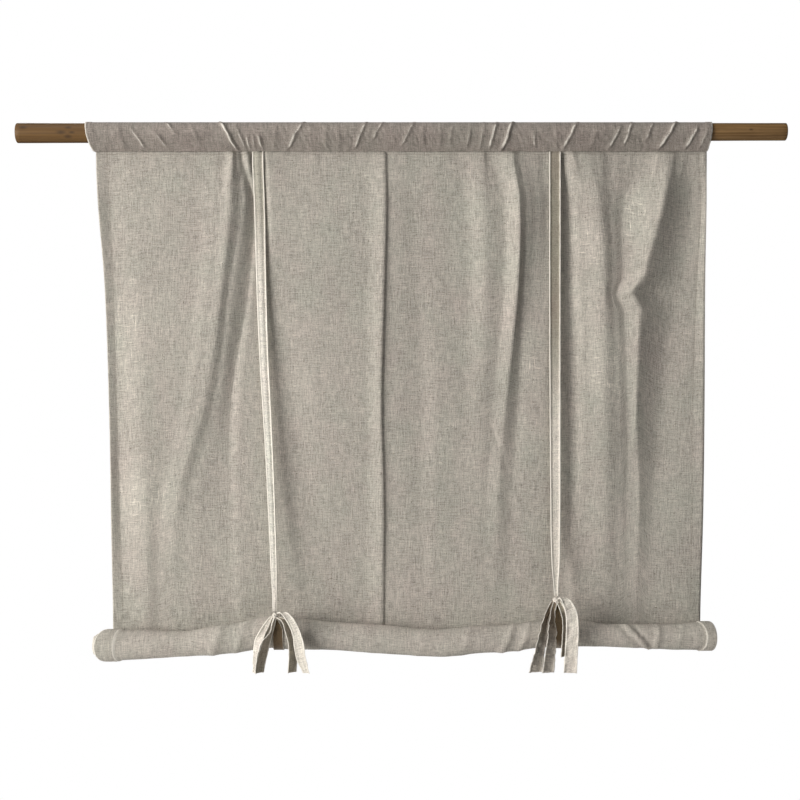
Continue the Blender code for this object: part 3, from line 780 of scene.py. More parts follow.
# %% Fold table
SEAM_Z = -31.4
FOLD_HEIGHTS = (-31.7, -108.0, -236.0, -428.0, -588.0, -783.0)
Fold = namedtuple("Fold", "name across out sharp")
FOLDS = (
    Fold("left edge", (-489, -486, -476, -470, -468, -466), (0, 3, 2, 2, 2, 0), 0.5),
    Fold("left hem crease", (-471, -468, -463, -458, -455, -449),
         (-1, -1.5, -1, -1.5, -4, -1.5), 0.7),
    Fold("left crest", (-440, -418, -414, -416, -412, -407), (1, 2, 3, 5, 5.5, 2), 0.0),
    Fold("left valley", (-326, -329, -332, -356, -386, -392), (-1, 1, 1.5, 3, 1.5, 0.5), 0.0),
    Fold("shoulder approach", (-283, -290, -304, -334, -372, -380), (-0.5, 5, 6, 6, 2.4, 1), 0.0),
    Fold("left shoulder", (-270, -274, -287, -316, -361, -370), (5, 9, 9, 7.5, 3.2, 1.2), 0.2),
    Fold("shoulder step", (-263, -254, -273, -297, -337, -345), (1.5, 0.5, 3, 1.5, -0.5, 0), 0.0),
    Fold("shoulder foot", (-256, -238, -244, -274, -276, -274), (-1.0, -8.5, -7, -5, -1.2, 0), 0.6),
    Fold("small crest", (-246, -234, -237, -260, -262, -258), (3.5, -7.2, -5, -0.6, 1.8, 1.8), 0.2),
    Fold("behind left tie", (-237, -228, -229, -232, -214, -200),
         (-3.5, -8, -5.5, -0.8, 2.2, 0.4), 0.0),
    Fold("right of left tie", (-212, -208, -204, -192, -166, -140),
         (3.0, 1.5, -2.2, -3.8, -3.4, -0.4), 0.2),
    Fold("plateau", (-162, -158, -150, -138, -112, -96), (0, -0.4, -1.4, -2.2, -2.4, -0.6), 0.0),
    Fold("tuck approach", (-56, -56, -56, -55, -56, -60),
         (-0.2, -1.4, -1.8, -1.8, -1.6, -0.6), 0.3),
    Fold("tuck crest", (-26.5, -25, -27.8, -32.5, -29, -30), (2.6, 4.6, 6.0, 5.8, 5.4, 3.0), 0.9),
    Fold("tuck foot", (-23.6, -22.2, -25.2, -29.8, -26.4, -27.2),
         (-0.2, 0.6, 1.2, 1.2, 1.0, 0.2), 0.7),
    Fold("tuck return", (-8, -7, -9, -12, -11, -8), (0, 0.4, 0.4, 0.2, 0.2, 0), 0.0),
    Fold("centre crease", (20, 20, 27, 33, 31, 38), (-1, -2, -2.6, -3, -2.4, -1.2), 0.6),
    Fold("centre rise", (44, 44, 48, 58, 55, 50), (-0.8, -2.2, -2.2, -0.6, -0.4, 0), 0.0),
    Fold("centre approach", (98, 101, 106, 102, 98, 98), (-1.2, -4.0, -3.4, -1.6, -1.2, 0), 0.1),
    Fold("centre swell", (130, 133, 137, 130, 124, 122), (2.0, 5.0, 4.0, 0.4, -1.0, 0), 0.1),
    Fold("centre valley", (143, 164, 164, 149, 138, 136), (-1.6, 2.2, 1.4, -1.2, -1.8, 0), 0.5),
    Fold("main crest", (178, 187, 186, 168, 156, 152), (6.5, 19, 15, 3.4, 0.6, 0), 1.0),
    Fold("main foot", (190, 201, 196, 188, 178, 172), (1.5, 11, 5, -4.2, -3.4, -0.5), 0.3),
    Fold("tie approach", (204, 218, 212, 204, 198, 194), (0, 5, 2.5, -2, -1.5, 0), 0.2),
    Fold("left of right tie", (233, 236, 233, 228, 226, 216), (-2.5, -1, 0.2, -1.2, -0.6, 0), 0.1),
    Fold("right of right tie", (257, 262, 266, 273, 272, 262),
         (-4.5, -12, -11.5, -9.0, -6.6, -1.2), 0.6),
    Fold("swell foot", (274, 282, 288, 295, 290, 276), (3.5, 1.5, 1, 1, 0.5, 0.5), 0.5),
    Fold("right swell", (300, 314, 324, 328, 330, 330), (5.5, 10.5, 11, 8.5, 4.5, 1.5), 0.1),
    Fold("right slack", (338, 336, 342, 348, 350, 350), (0.2, 4, 5, 5.5, 1.6, 0), 0.3),
    Fold("right valley", (390, 356, 356, 362, 364, 366), (-1.5, 0.5, 1.5, 2.6, -0.5, -0.5), 0.3),
    Fold("right crest", (425, 417, 386, 376, 382, 378), (6, 21, 15.5, 7.5, 2, 0), 1.4),
    Fold("right hollow", (460, 464, 450, 421, 410, 399), (-1.5, 0, -7.5, -7.5, -4.5, -1.5), 0.1),
    Fold("right hem", (475, 479, 474, 468, 468, 466), (0, 2.0, -5, -3, -1, 0), 0.3),
    Fold("right edge", (488, 487, 487, 487, 486, 482), (1.5, 6.5, 0.5, 1.2, 1, 0), 0.5),
)
print(len(FOLDS), "folds")

# %% [markdown]
# The roll below hides the panel's foot, so its height and thickness are needed first.

# %% Roll table
ROLL_CENTRE_Y = -4.0
RollSection = namedtuple("RollSection", "x centre_z radius")
ROLL_SECTIONS = (
    RollSection(-480.0, -819.0, 24.4),
    RollSection(-467.0, -819.4, 24.8),
    RollSection(-412.0, -818.0, 23.7),
    RollSection(-342.0, -816.6, 20.5),
    RollSection(-298.0, -811.4, 23.6),
    RollSection(-260.0, -806.7, 24.2),
    RollSection(-209.0, -798.1, 25.9),
    RollSection(-170.0, -800.6, 25.8),
    RollSection(-114.0, -804.2, 22.8),
    RollSection(-31.0, -809.6, 23.3),
    RollSection(38.0, -815.0, 21.9),
    RollSection(70.0, -815.4, 22.3),
    RollSection(126.0, -809.8, 22.2),
    RollSection(172.0, -808.0, 21.7),
    RollSection(228.0, -801.3, 21.3),
    RollSection(284.0, -800.2, 21.5),
    RollSection(329.0, -803.4, 18.8),
    RollSection(380.0, -804.6, 19.6),
    RollSection(431.0, -805.8, 20.8),
    RollSection(482.0, -804.2, 22.7),
    RollSection(500.0, -804.5, 22.5),
)


def roll_centre_z(x):
    return smooth([s.x for s in ROLL_SECTIONS], [s.centre_z for s in ROLL_SECTIONS], x)


def roll_radius(x):
    return smooth([s.x for s in ROLL_SECTIONS], [s.radius for s in ROLL_SECTIONS], x)


print("roll from", ROLL_SECTIONS[0].x, "to", ROLL_SECTIONS[-1].x, "mm")

# %% [markdown]
# Between the folds the cloth has finer creases. Each is a short ridge, or a trough where its
# height is negative, that runs between two or more points and fades out at both ends.

# %% Crease table
SEAM_ZONE_Z = -40.0
CREASE_POINT = 1.7
Crease = namedtuple("Crease", "route height left right")
CREASES = (
    # Puckers under the seam beside the left tie, from left to right
    Crease(((-270, -31), (-272, -60), (-276, -110)), 2.6, 9, 7),
    Crease(((-286, -31), (-287, -55), (-290, -90)), -1.4, 8, 8),
    Crease(((-257, -31), (-256, -60), (-258, -90)), -1.4, 6, 6),
    Crease(((-247, -31), (-246, -52), (-243, -80)), 1.6, 6, 4),
    Crease(((-216, -31), (-213, -55), (-211, -80)), 1.4, 3, 9),
    # Puckers under the seam beside the right tie and along the right half
    Crease(((92, -31), (94, -60), (95, -105)), -1.0, 8, 6),
    Crease(((137, -31), (139, -70), (146, -120)), -1.3, 6, 6),
    Crease(((160, -31), (163, -45), (170, -75)), 1.4, 7, 5),
    Crease(((232, -31), (230, -45), (222, -90)), -1.6, 8, 5),
    Crease(((272, -31), (277, -50), (290, -110)), 2.2, 6, 12),
    Crease(((318, -31), (319, -50), (322, -90)), 1.5, 8, 8),
    Crease(((342, -31), (343, -60), (348, -100)), 0.8, 6, 8),
    Crease(((372, -31), (374, -60), (378, -100)), -0.8, 8, 6),
    Crease(((412, -26), (409, -45), (402, -80)), 2.4, 9, 6),
    Crease(((434, -31), (432, -50), (428, -85)), 1.6, 5, 6),
    Crease(((424, -31), (422, -50), (417, -75)), -1.2, 6, 6),
    Crease(((455, -28), (450, -50), (440, -90)), 1.2, 6, 8),
    Crease(((-398, -31), (-394, -50), (-390, -70)), 0.7, 8, 8),
    Crease(((-140, -31), (-139, -50), (-138, -66)), 0.6, 7, 7),
    Crease(((-60, -31), (-61, -50), (-63, -70)), 0.5, 8, 8),
    Crease(((60, -31), (58, -50), (57, -80)), 0.6, 8, 8),
    # Lone creases in the middle and right fields
    Crease(((46, -206), (60, -240), (78, -276)), 1.5, 11, 8),
    Crease(((48, -240), (66, -262), (92, -290)), 0.5, 10, 8),
    Crease(((140, -446), (162, -516), (172, -560)), -1.3, 11, 9),
    Crease(((172, -560), (184, -590), (193, -612)), 1.4, 8, 8),
    Crease(((60, -330), (58, -420), (64, -500)), 0.4, 16, 12),
    Crease(((96, -330), (104, -430), (108, -520)), -0.5, 16, 16),
    Crease(((398, -226), (386, -242), (368, -260)), 2.0, 8, 6),
    Crease(((366, -254), (376, -268), (388, -292)), 2.0, 6, 6),
    Crease(((384, -380), (376, -420), (372, -560)), 1.0, 10, 8),
    Crease(((456, -290), (440, -330), (424, -390)), 0.9, 14, 10),
    Crease(((318, -300), (322, -380), (326, -470)), 0.6, 20, 14),
    # Soft lines in the left field and behind the ties
    Crease(((-329, -470), (-344, -588), (-354, -670)), -0.6, 14, 14),
    Crease(((-380, -240), (-392, -330), (-398, -430)), 0.5, 22, 22),
    Crease(((-150, -300), (-140, -420), (-132, -520)), 0.4, 26, 20),
    Crease(((-100, -90), (-96, -200), (-98, -330)), -0.4, 24, 24),
    # Creases just above the roll, where the weight of the cloth rests
    Crease(((-440, -764), (-452, -776), (-460, -790)), 2.0, 6, 6),
    Crease(((-425, -745), (-436, -770), (-440, -790)), -1.0, 8, 8),
    Crease(((-240, -700), (-226, -740), (-212, -775)), 0.8, 10, 8),
    Crease(((-160, -690), (-176, -735), (-190, -770)), 0.7, 8, 10),
    Crease(((300, -700), (280, -740), (262, -770)), 0.7, 8, 10),
    Crease(((200, -690), (220, -735), (236, -765)), 0.8, 10, 8),
    Crease(((452, -742), (466, -756), (476, -764)), 1.6, 6, 6),
    Crease(((458, -765), (470, -774), (480, -780)), 1.3, 5, 5),
    Crease(((430, -720), (440, -745), (446, -775)), -0.9, 9, 9),
)


def crease_out(x, z):
    """How far the fine creases lift each point of arrays x and z."""
    total = np.zeros(np.shape(x))
    for route, height, left, right in CREASES:
        heights = np.array([point[1] for point in route], float)
        line = smooth(heights, [point[0] for point in route], z)
        reach = np.where(x < line, left, right)
        near = np.clip(1.0 - np.abs(x - line) / reach, 0.0, 1.0)
        length = heights[0] - heights[-1]
        from_seam = heights[0] > SEAM_ZONE_Z
        along = (heights[0] - z) / length
        fade = soft_step((1.0 - along) * 2.2) * (1.0 if from_seam else soft_step(along * 3.5))
        inside = (along > (-0.3 if from_seam else 0.0)) & (along < 1.0)
        total += np.where(inside, height * near**CREASE_POINT * fade, 0.0)
    return total


print(len(CREASES), "creases")

# %% [markdown]
# The panel's depth is its folds, creases and small unevenness together. The right crest
# breaks near its top, so the fold lines bend aside there. Just under the seam the cloth
# puckers, and the nearer it comes to the roll, the flatter it lies.

# %% Depth of the panel
CLOTH_GAP = 0.35
CAD_CLOTH = 1.6
PANEL_WAVES = ((0.55, 90.0, 1.0), (0.28, 34.0, 5.0), (0.1, 13.0, 9.0))
PUCKER_FOOT_Z = -75.0
PUCKER_FADE = 45.0


def fold_shape(share, sharp_before, sharp_after):
    """From 0 to 1 between two lines, level at a soft line and sloping at a pointed one."""
    return (
        (share**3 - 2 * share**2 + share) * sharp_before
        + 3 * share**2 - 2 * share**3
        + (share**3 - share**2) * sharp_after
    )


Kink = namedtuple("Kink", "x z half_x half_z shift")
CREST_KINK = Kink(385.0, -257.0, 70.0, 28.0, 19.0)
KINK_FADE = 1.3


def kink_shift(x, z):
    """The right crest breaks here: it bends sharply to the left and back."""
    near = np.clip(1.0 - np.abs(z - CREST_KINK.z) / CREST_KINK.half_z, 0.0, 1.0)
    across = KINK_FADE - KINK_FADE * np.abs(x - CREST_KINK.x) / CREST_KINK.half_x
    return CREST_KINK.shift * near * soft_step(across)


def panel_out(x, z):
    """How far the panel's cloth stands out to the front at arrays x and z."""
    creases = crease_out(x, z)
    x = x + kink_shift(x, z)
    places = [smooth(FOLD_HEIGHTS, fold.across, z) for fold in FOLDS]
    heights = [smooth(FOLD_HEIGHTS, fold.out, z) for fold in FOLDS]
    total = np.where(x <= places[0], heights[0], heights[-1])
    for index in range(len(FOLDS) - 1):
        inside = (x > places[index]) & (x <= places[index + 1])
        share = np.clip((x - places[index]) / (places[index + 1] - places[index]), 0.0, 1.0)
        shape = fold_shape(share, FOLDS[index].sharp, FOLDS[index + 1].sharp)
        total = np.where(inside, mix(heights[index], heights[index + 1], shape), total)
    puckers = 0.7 * wander(x, 0.25 * z, 7.0, 14.0) + 0.5 * wander(x, 0.2 * z, 15.0, 18.0)
    puckers = puckers * soft_step((z - PUCKER_FOOT_Z) / PUCKER_FADE)
    return total + creases + layered(x, z, PANEL_WAVES) + puckers


def panel_depth(x, z):
    """Y of the panel's middle. It leans back from the seam to behind the roll."""
    foot_z = roll_centre_z(x)
    foot_y = ROLL_CENTRE_Y + roll_radius(x) + CLOTH_GAP + CAD_CLOTH / 2
    down = (SEAM_Z - z) / (SEAM_Z - foot_z)
    lifting = soft_step((z - foot_z) / (FOLD_HEIGHTS[-1] - foot_z))
    held = soft_step((SEAM_Z - z) / 5.0 + 0.35)
    return foot_y * down - panel_out(x, z) * lifting * held


print("depth at the middle", round(float(panel_depth(np.array(0.0), np.array(-400.0))), 2), "mm")

# %% [markdown]
# The grid's columns follow the fold lines, so a crease never cuts across a face, and they
# stand closer together at the creases. The side hems are folded back and sewn, so the cloth
# is twice as thick there, on its back.

# %% Panel
PANEL_THICKNESS = 0.9
HEM_THICKNESS = 0.8
HEM_WIDTH = 18.0
PANEL_ROWS = 150
PANEL_TOP_Z = -29.8
FINE_SPACING = 1.9
COARSE_SPACING = 4.9
CLOTH_LEFT, CLOTH_RIGHT = -500.0, 490.0
CLOTH_SPREAD = 0.3


def panel_columns():
    """Pairs of a fold's number and a share of the way to the next fold."""
    marks = []
    for index in range(len(FOLDS) - 1):
        gap = max(b - a for a, b in zip(FOLDS[index].across, FOLDS[index + 1].across))
        pointed = max(FOLDS[index].sharp, FOLDS[index + 1].sharp) >= 0.7
        spacing = FINE_SPACING if pointed and gap < 25 else COARSE_SPACING
        steps = max(2, round(gap / spacing))
        marks.extend((index, step / steps) for step in range(steps))
    marks.append((len(FOLDS) - 2, 1.0))
    return marks


def panel_grid():
    marks = panel_columns()
    index = np.array([mark[0] for mark in marks])
    share = np.array([mark[1] for mark in marks])
    down = np.linspace(0.0, 1.0, PANEL_ROWS + 1)
    level = mix(PANEL_TOP_Z, FOLD_HEIGHTS[-1], down)
    lines = np.array([smooth(FOLD_HEIGHTS, fold.across, level) for fold in FOLDS])
    x = mix(lines[index], lines[index + 1], share[:, None]).T
    x = x - kink_shift(x, np.broadcast_to(level[:, None], x.shape))
    z = mix(PANEL_TOP_Z, roll_centre_z(x), down[:, None])
    return x, z, lines


def build_panel():
    x, z, lines = panel_grid()
    points = np.stack([x, panel_depth(x, z), z], -1)
    flat_x = np.broadcast_to(np.linspace(CLOTH_LEFT, CLOTH_RIGHT, x.shape[1]), x.shape)
    cloth_x = mix(x, flat_x, CLOTH_SPREAD)
    cloth_map = np.stack([cloth_x, -lengths_along(points, 0)], -1)
    edge = np.minimum(x - lines[0][:, None], lines[-1][:, None] - x)
    edge_map = np.stack([edge, z], -1)
    hem = soft_step((HEM_WIDTH - edge) / 1.5)
    front = PANEL_THICKNESS / 2
    back = front + HEM_THICKNESS * hem
    piece = build_sheet(
        "hung_panel", points, front, back, cloth_map, edge_map, panel_linen
    )
    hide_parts("panel")
    return piece, points


hung_panel, panel_points = build_panel()
print("panel grid", panel_points.shape[:2])

# %% [markdown]
# The heading is the same cloth, folded over the rod into a pocket and gathered on it. In
# section it is a teardrop round the rod that closes at the seam. The gathers slant from the
# rod's top to the seam; each row gives both ends of one, how high it stands and its reach.

# %% Gather table
POCKET_LEFT_TOP, POCKET_RIGHT_TOP = -504.8, 495.2
POCKET_LEFT_SEAM, POCKET_RIGHT_SEAM = -490.0, 488.0
Gather = namedtuple("Gather", "x_top z_top x_foot z_foot height left right")
GATHERS = (
    Gather(-430, 4, -404, -29, 1.6, 6, 7),
    Gather(-452, 10, -440, -24, 0.7, 10, 10),
    Gather(-392, -2, -366, -29, 1.3, 6, 6),
    Gather(-375, 13, -357, -8, 1.4, 6, 6),
    Gather(-330, 0, -318, -24, 0.8, 8, 8),
    Gather(-289, 14, -256, -33, 2.9, 5, 5),
    Gather(-262, 6, -246, -29, 1.4, 5, 4),
    Gather(-247, -6, -240, -29, 1.5, 3.5, 3.5),
    Gather(-236, -8, -234, -29, 1.3, 3.5, 3.5),
    Gather(-228, -4, -220, -31, 1.7, 3.5, 4),
    Gather(-200, 4, -204, -26, 0.9, 8, 8),
    Gather(-156, 13, -186, -30, 2.1, 7, 5),
    Gather(-120, 6, -122, -24, 0.8, 9, 7),
    Gather(-101, 4, -100, -26, 0.8, 5, 7),
    Gather(-56, 13, -77, -28, 1.8, 7, 5),
    Gather(-30, 13, -48, -14, 1.6, 6, 5),
    Gather(20, 13, -2, -23, 1.6, 7, 5),
    Gather(36, 10, 32, -26, 0.9, 8, 7),
    Gather(62, 8, 60, -24, 0.8, 8, 8),
    Gather(80, 6, 76, -26, 1.0, 5, 5),
    Gather(110, 4, 103, -24, 1.3, 6, 5),
    Gather(132, 12, 124, -26, 1.2, 6, 5),
    Gather(151, 12, 139, -27, 1.9, 6, 5),
    Gather(177, 14, 158, -30, 3.0, 5, 5),
    Gather(210, -2, 214, -24, 1.5, 5, 5),
    Gather(246, 2, 247, -28, 1.0, 6, 6),
    Gather(279, 12, 255, -28, 2.0, 6, 6),
    Gather(312, 6, 302, -24, 0.9, 8, 7),
    Gather(348, 7, 328, -28, 1.8, 6, 5),
    Gather(366, 13, 354, -22, 1.8, 6, 5),
    Gather(400, 12, 388, -14, 1.5, 6, 5),
    Gather(438, 14, 408, -27, 3.0, 6, 5),
    Gather(471, 6, 450, -28, 2.3, 6, 5),
    Gather(484, -2, 474, -29, 1.4, 5, 5),
)
GATHER_LIFT = 1.5
GATHER_WANDER = 1.6


def gather_out(x, z, over):
    """Lift of the gathers, and how far each point is from a high gather's ridge, in mm."""
    total = np.zeros(np.shape(x))
    away = np.full(np.shape(x), 50.0)
    for g in GATHERS:
        share = (g.z_top - z) / (g.z_top - g.z_foot)
        line = mix(g.x_top, g.x_foot, np.clip(share, -0.2, 1.2))
        line = line + GATHER_WANDER * wander(x * 0.0 + g.x_top, z, 9.0, g.x_foot)
        reach = np.where(x < line, g.left, g.right)
        near = np.clip(1.0 - np.abs(x - line) / reach, 0.0, 1.0)
        fade = soft_step(share * 2.5 + 0.5) * soft_step((1.0 - share) * 3.0 + 0.3)
        total += GATHER_LIFT * g.height * near**1.8 * fade
        # The distance to a high gather's ridge places a painted highlight along it
        too_low = max(0.0, 2.0 - g.height) * 1.6
        away = np.minimum(away, np.abs(x - line + 0.8) + 6.0 * (1.0 - fade) + too_low)
    return total * over, away + 20.0 * (1.0 - over)


print(len(GATHERS), "gathers")

# %% [markdown]
# The section is measured along the cloth, from the seam at the back, over the rod and down
# the front. That gives the weave its true size. Each end of the pocket is a hemmed edge.

# %% Heading
HEADING_COLUMNS = 540
HEADING_ROWS = 54
HEADING_THICKNESS = 0.9
HEADING_CLEARANCE = 0.75
POCKET_HEM_WIDTH = 11.0


def pocket_section(x, steps):
    """y and z of the pocket's middle at one x, from the back of the seam to its front."""
    radius = rod_radius(x) + HEADING_CLEARANCE
    axis_z = rod_axis_z(x)
    drop = axis_z - SEAM_Z - HEADING_THICKNESS
    apex = math.asin(radius / drop)
    straight = math.sqrt(drop * drop - radius * radius)
    arc = radius * (math.pi + 2 * apex)
    total = 2 * straight + arc
    points = []
    for step in range(steps + 1):
        at = total * step / steps
        side = 1.0
        if at > total / 2:
            at, side = total - at, -1.0
        if at < straight:
            points.append((side * at * math.sin(apex), axis_z - drop + at * math.cos(apex)))
        else:
            angle = -apex + (at - straight) / radius
            points.append((side * radius * math.cos(angle), axis_z + radius * math.sin(angle)))
    return np.array(points)


def build_heading():
    columns = np.linspace(0.0, 1.0, HEADING_COLUMNS + 1)
    points = np.zeros((HEADING_ROWS + 1, HEADING_COLUMNS + 1, 3))
    for number, share in enumerate(columns):
        x_top = mix(POCKET_LEFT_TOP, POCKET_RIGHT_TOP, share)
        x_seam = mix(POCKET_LEFT_SEAM, POCKET_RIGHT_SEAM, share)
        section = pocket_section(x_top, HEADING_ROWS)
        rise = section[:, 1] - section[0, 1]
        upness = np.clip(rise / (section[:, 1].max() - section[0, 1]), 0.0, 1.0)
        edge = min(share, 1.0 - share)
        bend = mix(0.5, 1.0, min(1.0, edge * 25.0))
        points[:, number, 0] = mix(x_seam, x_top, upness**bend)
        points[:, number, 1:] = section
    x, y, z = points[..., 0], points[..., 1], points[..., 2]
    axis = rod_axis_z(x)
    outward = np.stack([np.zeros_like(x), y, z - axis], -1)
    outward /= np.linalg.norm(outward, axis=2, keepdims=True)
    # The gathers fade at the seam and reach over the top, but only a little down the back
    at_seam = soft_step((z - SEAM_Z) / 5.0)
    over = soft_step((8.0 - y) / 16.0) + 0.6 * soft_step((y - 8.0) / 8.0)
    lift, from_ridge = gather_out(x, z, over)
    lift = lift * mix(0.35, 1.0, at_seam)
    # The cloth is slack in front, and hangs a little away from the rod under its middle
    slack = 0.6 * (1.0 + wander(x, z, 26.0, 3.0))
    slack = slack + 0.7 * (1.0 + wander(1.6 * x + z, 0.5 * z, 9.0, 7.0))
    slack = slack + 0.45 * wander(2.0 * x + 1.2 * z, 0.6 * z, 7.0, 4.0)
    lift += slack * at_seam * soft_step((ROD_TOP_Z + 1.0 - z) / 12.0)
    lift += 0.9 * soft_step(-y / 10.0) * soft_step((6.0 - z) / 16.0) * at_seam
    points = points + outward * lift[..., None]
    cloth_map = np.stack([x, -lengths_along(points, 0)], -1)
    side = np.minimum(columns, 1.0 - columns) * (POCKET_RIGHT_TOP - POCKET_LEFT_TOP)
    side = np.broadcast_to(side, x.shape)
    # The edge map also carries the distance to a high gather's ridge, for a painted highlight there
    edge_map = np.stack([np.minimum(side, from_ridge), z], -1)
    back = HEADING_THICKNESS / 2
    front = back + 0.5 * soft_step((POCKET_HEM_WIDTH - side) / 1.5)
    piece = build_sheet(
        "rod_pocket", points, front, back, cloth_map, edge_map, heading_linen_painted_shade
    )
    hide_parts("heading")
    return piece


rod_pocket = build_heading()

# %% [markdown]
# The roll is the rest of the cloth, wound to the front. It starts where the panel ends, at
# the back, goes under and up the front, and winds inwards. The turns are loose, and at the
# left end the inner ones stick out further than the outer ones, like a telescope.

# %% Roll shape
ROLL_TURNS = 4.6
ROLL_PITCH = 3.1
TIGHTEN_FROM = 0.55
ROLL_THICKNESS = 0.9
ROLL_CORE = 2.0
OUTER_TURNS = 1.12
OUTER_STEPS = 84
INNER_STEPS = 50
ROLL_END_COLUMNS = 36
ROLL_MIDDLE_COLUMNS = 262
ROLL_COLUMNS = 2 * ROLL_END_COLUMNS + ROLL_MIDDLE_COLUMNS
ROLL_END_SHARE = 0.055
HEM_LINE_LEFT, HEM_LINE_RIGHT = -447.0, 472.0
HEM_LINE_BULGE_LEFT, HEM_LINE_BULGE_RIGHT = -8.0, 11.0
ROLL_HEM_RISE = 1.5
HUNG_LENGTH = 790.0
ROLL_LEFT, ROLL_RIGHT = -468.0, 491.0
TELESCOPE_LEFT, TELESCOPE_RIGHT = -23.0, 8.0
BULGE_LEFT, BULGE_RIGHT = -18.0, 8.0

Twist = namedtuple("Twist", "x_upper x_lower height left right")
ROLL_TWISTS = (
    Twist(-322, -340, 0.9, 16, 16),
    Twist(-284, -300, 3.0, 16, 12),
    Twist(-246, -264, 2.8, 12, 14),
    Twist(-120, -136, 0.8, 18, 18),
    Twist(-60, -48, 0.7, 20, 20),
    Twist(40, 26, 1.4, 18, 18),
    Twist(110, 96, 1.6, 16, 14),
    Twist(178, 160, 4.0, 13, 10),
    Twist(204, 186, 3.2, 10, 12),
    Twist(300, 310, 0.7, 14, 14),
    Twist(344, 382, -1.8, 9, 8),
    Twist(356, 394, 4.2, 8, 8),
    Twist(368, 403, -1.5, 7, 7),
    Twist(408, 404, 2.8, 9, 8),
    Twist(446, 440, 0.8, 12, 12),
)


def twist_out(x, angle):
    """Lift of the slanting twists. The angle is 180 degrees at the roll's front."""
    share = 0.5 - 0.5 * np.sin(angle)
    total = np.zeros(np.shape(x))
    for t in ROLL_TWISTS:
        line = mix(t.x_upper, t.x_lower, share)
        reach = np.where(x < line, t.left, t.right)
        near = np.clip(1.0 - np.abs(x - line) / reach, 0.0, 1.0)
        total += t.height * near**1.5
    return total * np.sqrt(np.clip(-np.cos(angle), 0.0, 1.0))


def roll_grid():
    outer = np.linspace(0.0, OUTER_TURNS, OUTER_STEPS, endpoint=False)
    turns = np.concatenate([outer, np.linspace(OUTER_TURNS, ROLL_TURNS, INNER_STEPS)])[::-1]
    depth = soft_step(turns / ROLL_TURNS * 1.15)[:, None]
    end = np.linspace(0.0, ROLL_END_SHARE, ROLL_END_COLUMNS, endpoint=False)
    middle = np.linspace(ROLL_END_SHARE, 1.0 - ROLL_END_SHARE, ROLL_MIDDLE_COLUMNS + 1)
    share = np.concatenate([end, middle, 1.0 - end[::-1]])[None, :]
    x = mix(ROLL_LEFT + TELESCOPE_LEFT * depth, ROLL_RIGHT + TELESCOPE_RIGHT * depth, share)
    angle = (-2 * math.pi * turns)[:, None] + np.zeros_like(x)
    bulge = np.clip(-np.cos(angle), 0.0, 1.0) ** 0.8 * (1.0 - depth)
    x = x + bulge * (BULGE_LEFT * (1.0 - share) ** 12 + BULGE_RIGHT * share**12)
    winding = turns[:, None] + np.zeros_like(x)
    radius = roll_radius(x)
    join_in = CLOTH_GAP + CAD_CLOTH / 2
    settled = soft_step(winding / 0.25)
    reach = radius + mix(join_in, -ROLL_THICKNESS / 2, settled)
    reach = reach - ROLL_PITCH * np.maximum(winding - TIGHTEN_FROM, 0.0)
    outside = soft_step((1.05 - winding) / 0.2) * soft_step(winding / 0.2)
    uneven = 0.5 * wander(x, 40.0 * winding, 42.0, 2.0)
    uneven = uneven + 0.25 * wander(x, 90.0 * winding, 17.0, 6.0)
    reach = reach + (twist_out(x, angle) + uneven - 0.3) * outside
    frontness = np.clip(-np.cos(angle), 0.0, 1.0)
    past_left = HEM_LINE_LEFT + HEM_LINE_BULGE_LEFT * frontness - x
    past_right = x - HEM_LINE_RIGHT - HEM_LINE_BULGE_RIGHT * frontness
    past_hem = np.maximum(past_left, past_right)
    reach = reach + ROLL_HEM_RISE * soft_step(past_hem / 1.3 + 0.5) * outside
    reach = np.maximum(reach, ROLL_CORE)
    y = ROLL_CENTRE_Y + reach * np.cos(angle)
    z = roll_centre_z(x) + reach * np.sin(angle)
    return x, np.stack([x, y, z], -1), past_hem + 50.0 * (1.0 - outside)


# %% [markdown]
# The side hems run on over the roll, and their inner folds get a painted highlight there
# too, broader at the left end.

# %% Roll
HEM_FOLD_WIDTH = 0.6
HEM_FOLD_HIGHLIGHT_LEFT, HEM_FOLD_HIGHLIGHT_RIGHT = -1.1, 0.3


def build_roll():
    x, points, past_hem = roll_grid()
    wound = lengths_along(points, 0)
    cloth_map = np.stack([x, wound - wound[-1:] - HUNG_LENGTH], -1)
    edge = np.minimum(x - x[:, :1], x[:, -1:] - x)
    highlight_shift = np.where(x < 0.0, HEM_FOLD_HIGHLIGHT_LEFT, HEM_FOLD_HIGHLIGHT_RIGHT)
    hem_line = np.abs(past_hem - HEM_FOLD_WIDTH) + highlight_shift
    edge = np.minimum(edge, np.maximum(hem_line, 0.0))
    edge_map = np.stack([edge, cloth_map[..., 1]], -1)
    half = ROLL_THICKNESS / 2
    piece = build_sheet("wound_roll", points, half, half, cloth_map, edge_map, roll_linen)
    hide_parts("roll")
    return piece, points


wound_roll, roll_points = build_roll()

# %% [markdown]
# A ribbon is a strip of the same linen, its edges folded in and sewn. The folded edges are
# thicker than its middle and carry a painted highlight, a paler line. Stations give its middle,
# its width and which way its face turns, and a smooth curve through them gives its course.

# %% Ribbon builder
RIBBON_THICKNESS = 0.8
RIBBON_ACROSS = np.array([-0.5, -0.47, -0.42, -0.35, -0.2, 0.0, 0.2, 0.35, 0.42, 0.47, 0.5])
PLAIN_PROFILE = (0.2, 0.3, 0.2, 0.0, 0.0, 0.0, 0.0, 0.0, 0.2, 0.3, 0.2)
FLAT_PROFILE = (0.6, 0.9, 0.7, -0.2, -0.4, -0.3, -0.5, -0.3, 0.6, 1.1, 0.9)
FOLDED_PROFILE = (0.0, 0.5, 0.6, 0.3, 0.9, 1.7, 0.5, -0.9, -0.3, 0.6, 0.9)
CURLED_PROFILE = (1.1, 1.4, 1.0, 0.3, -0.1, 0.2, -0.2, 0.2, 1.0, 1.4, 1.1)


def ribbon_course(stations, steps):
    places = np.arange(len(stations), dtype=float)
    at = np.linspace(0.0, len(stations) - 1.0, steps * (len(stations) - 1) + 1)
    return np.stack([smooth(places, column, at) for column in zip(*stations)], -1)


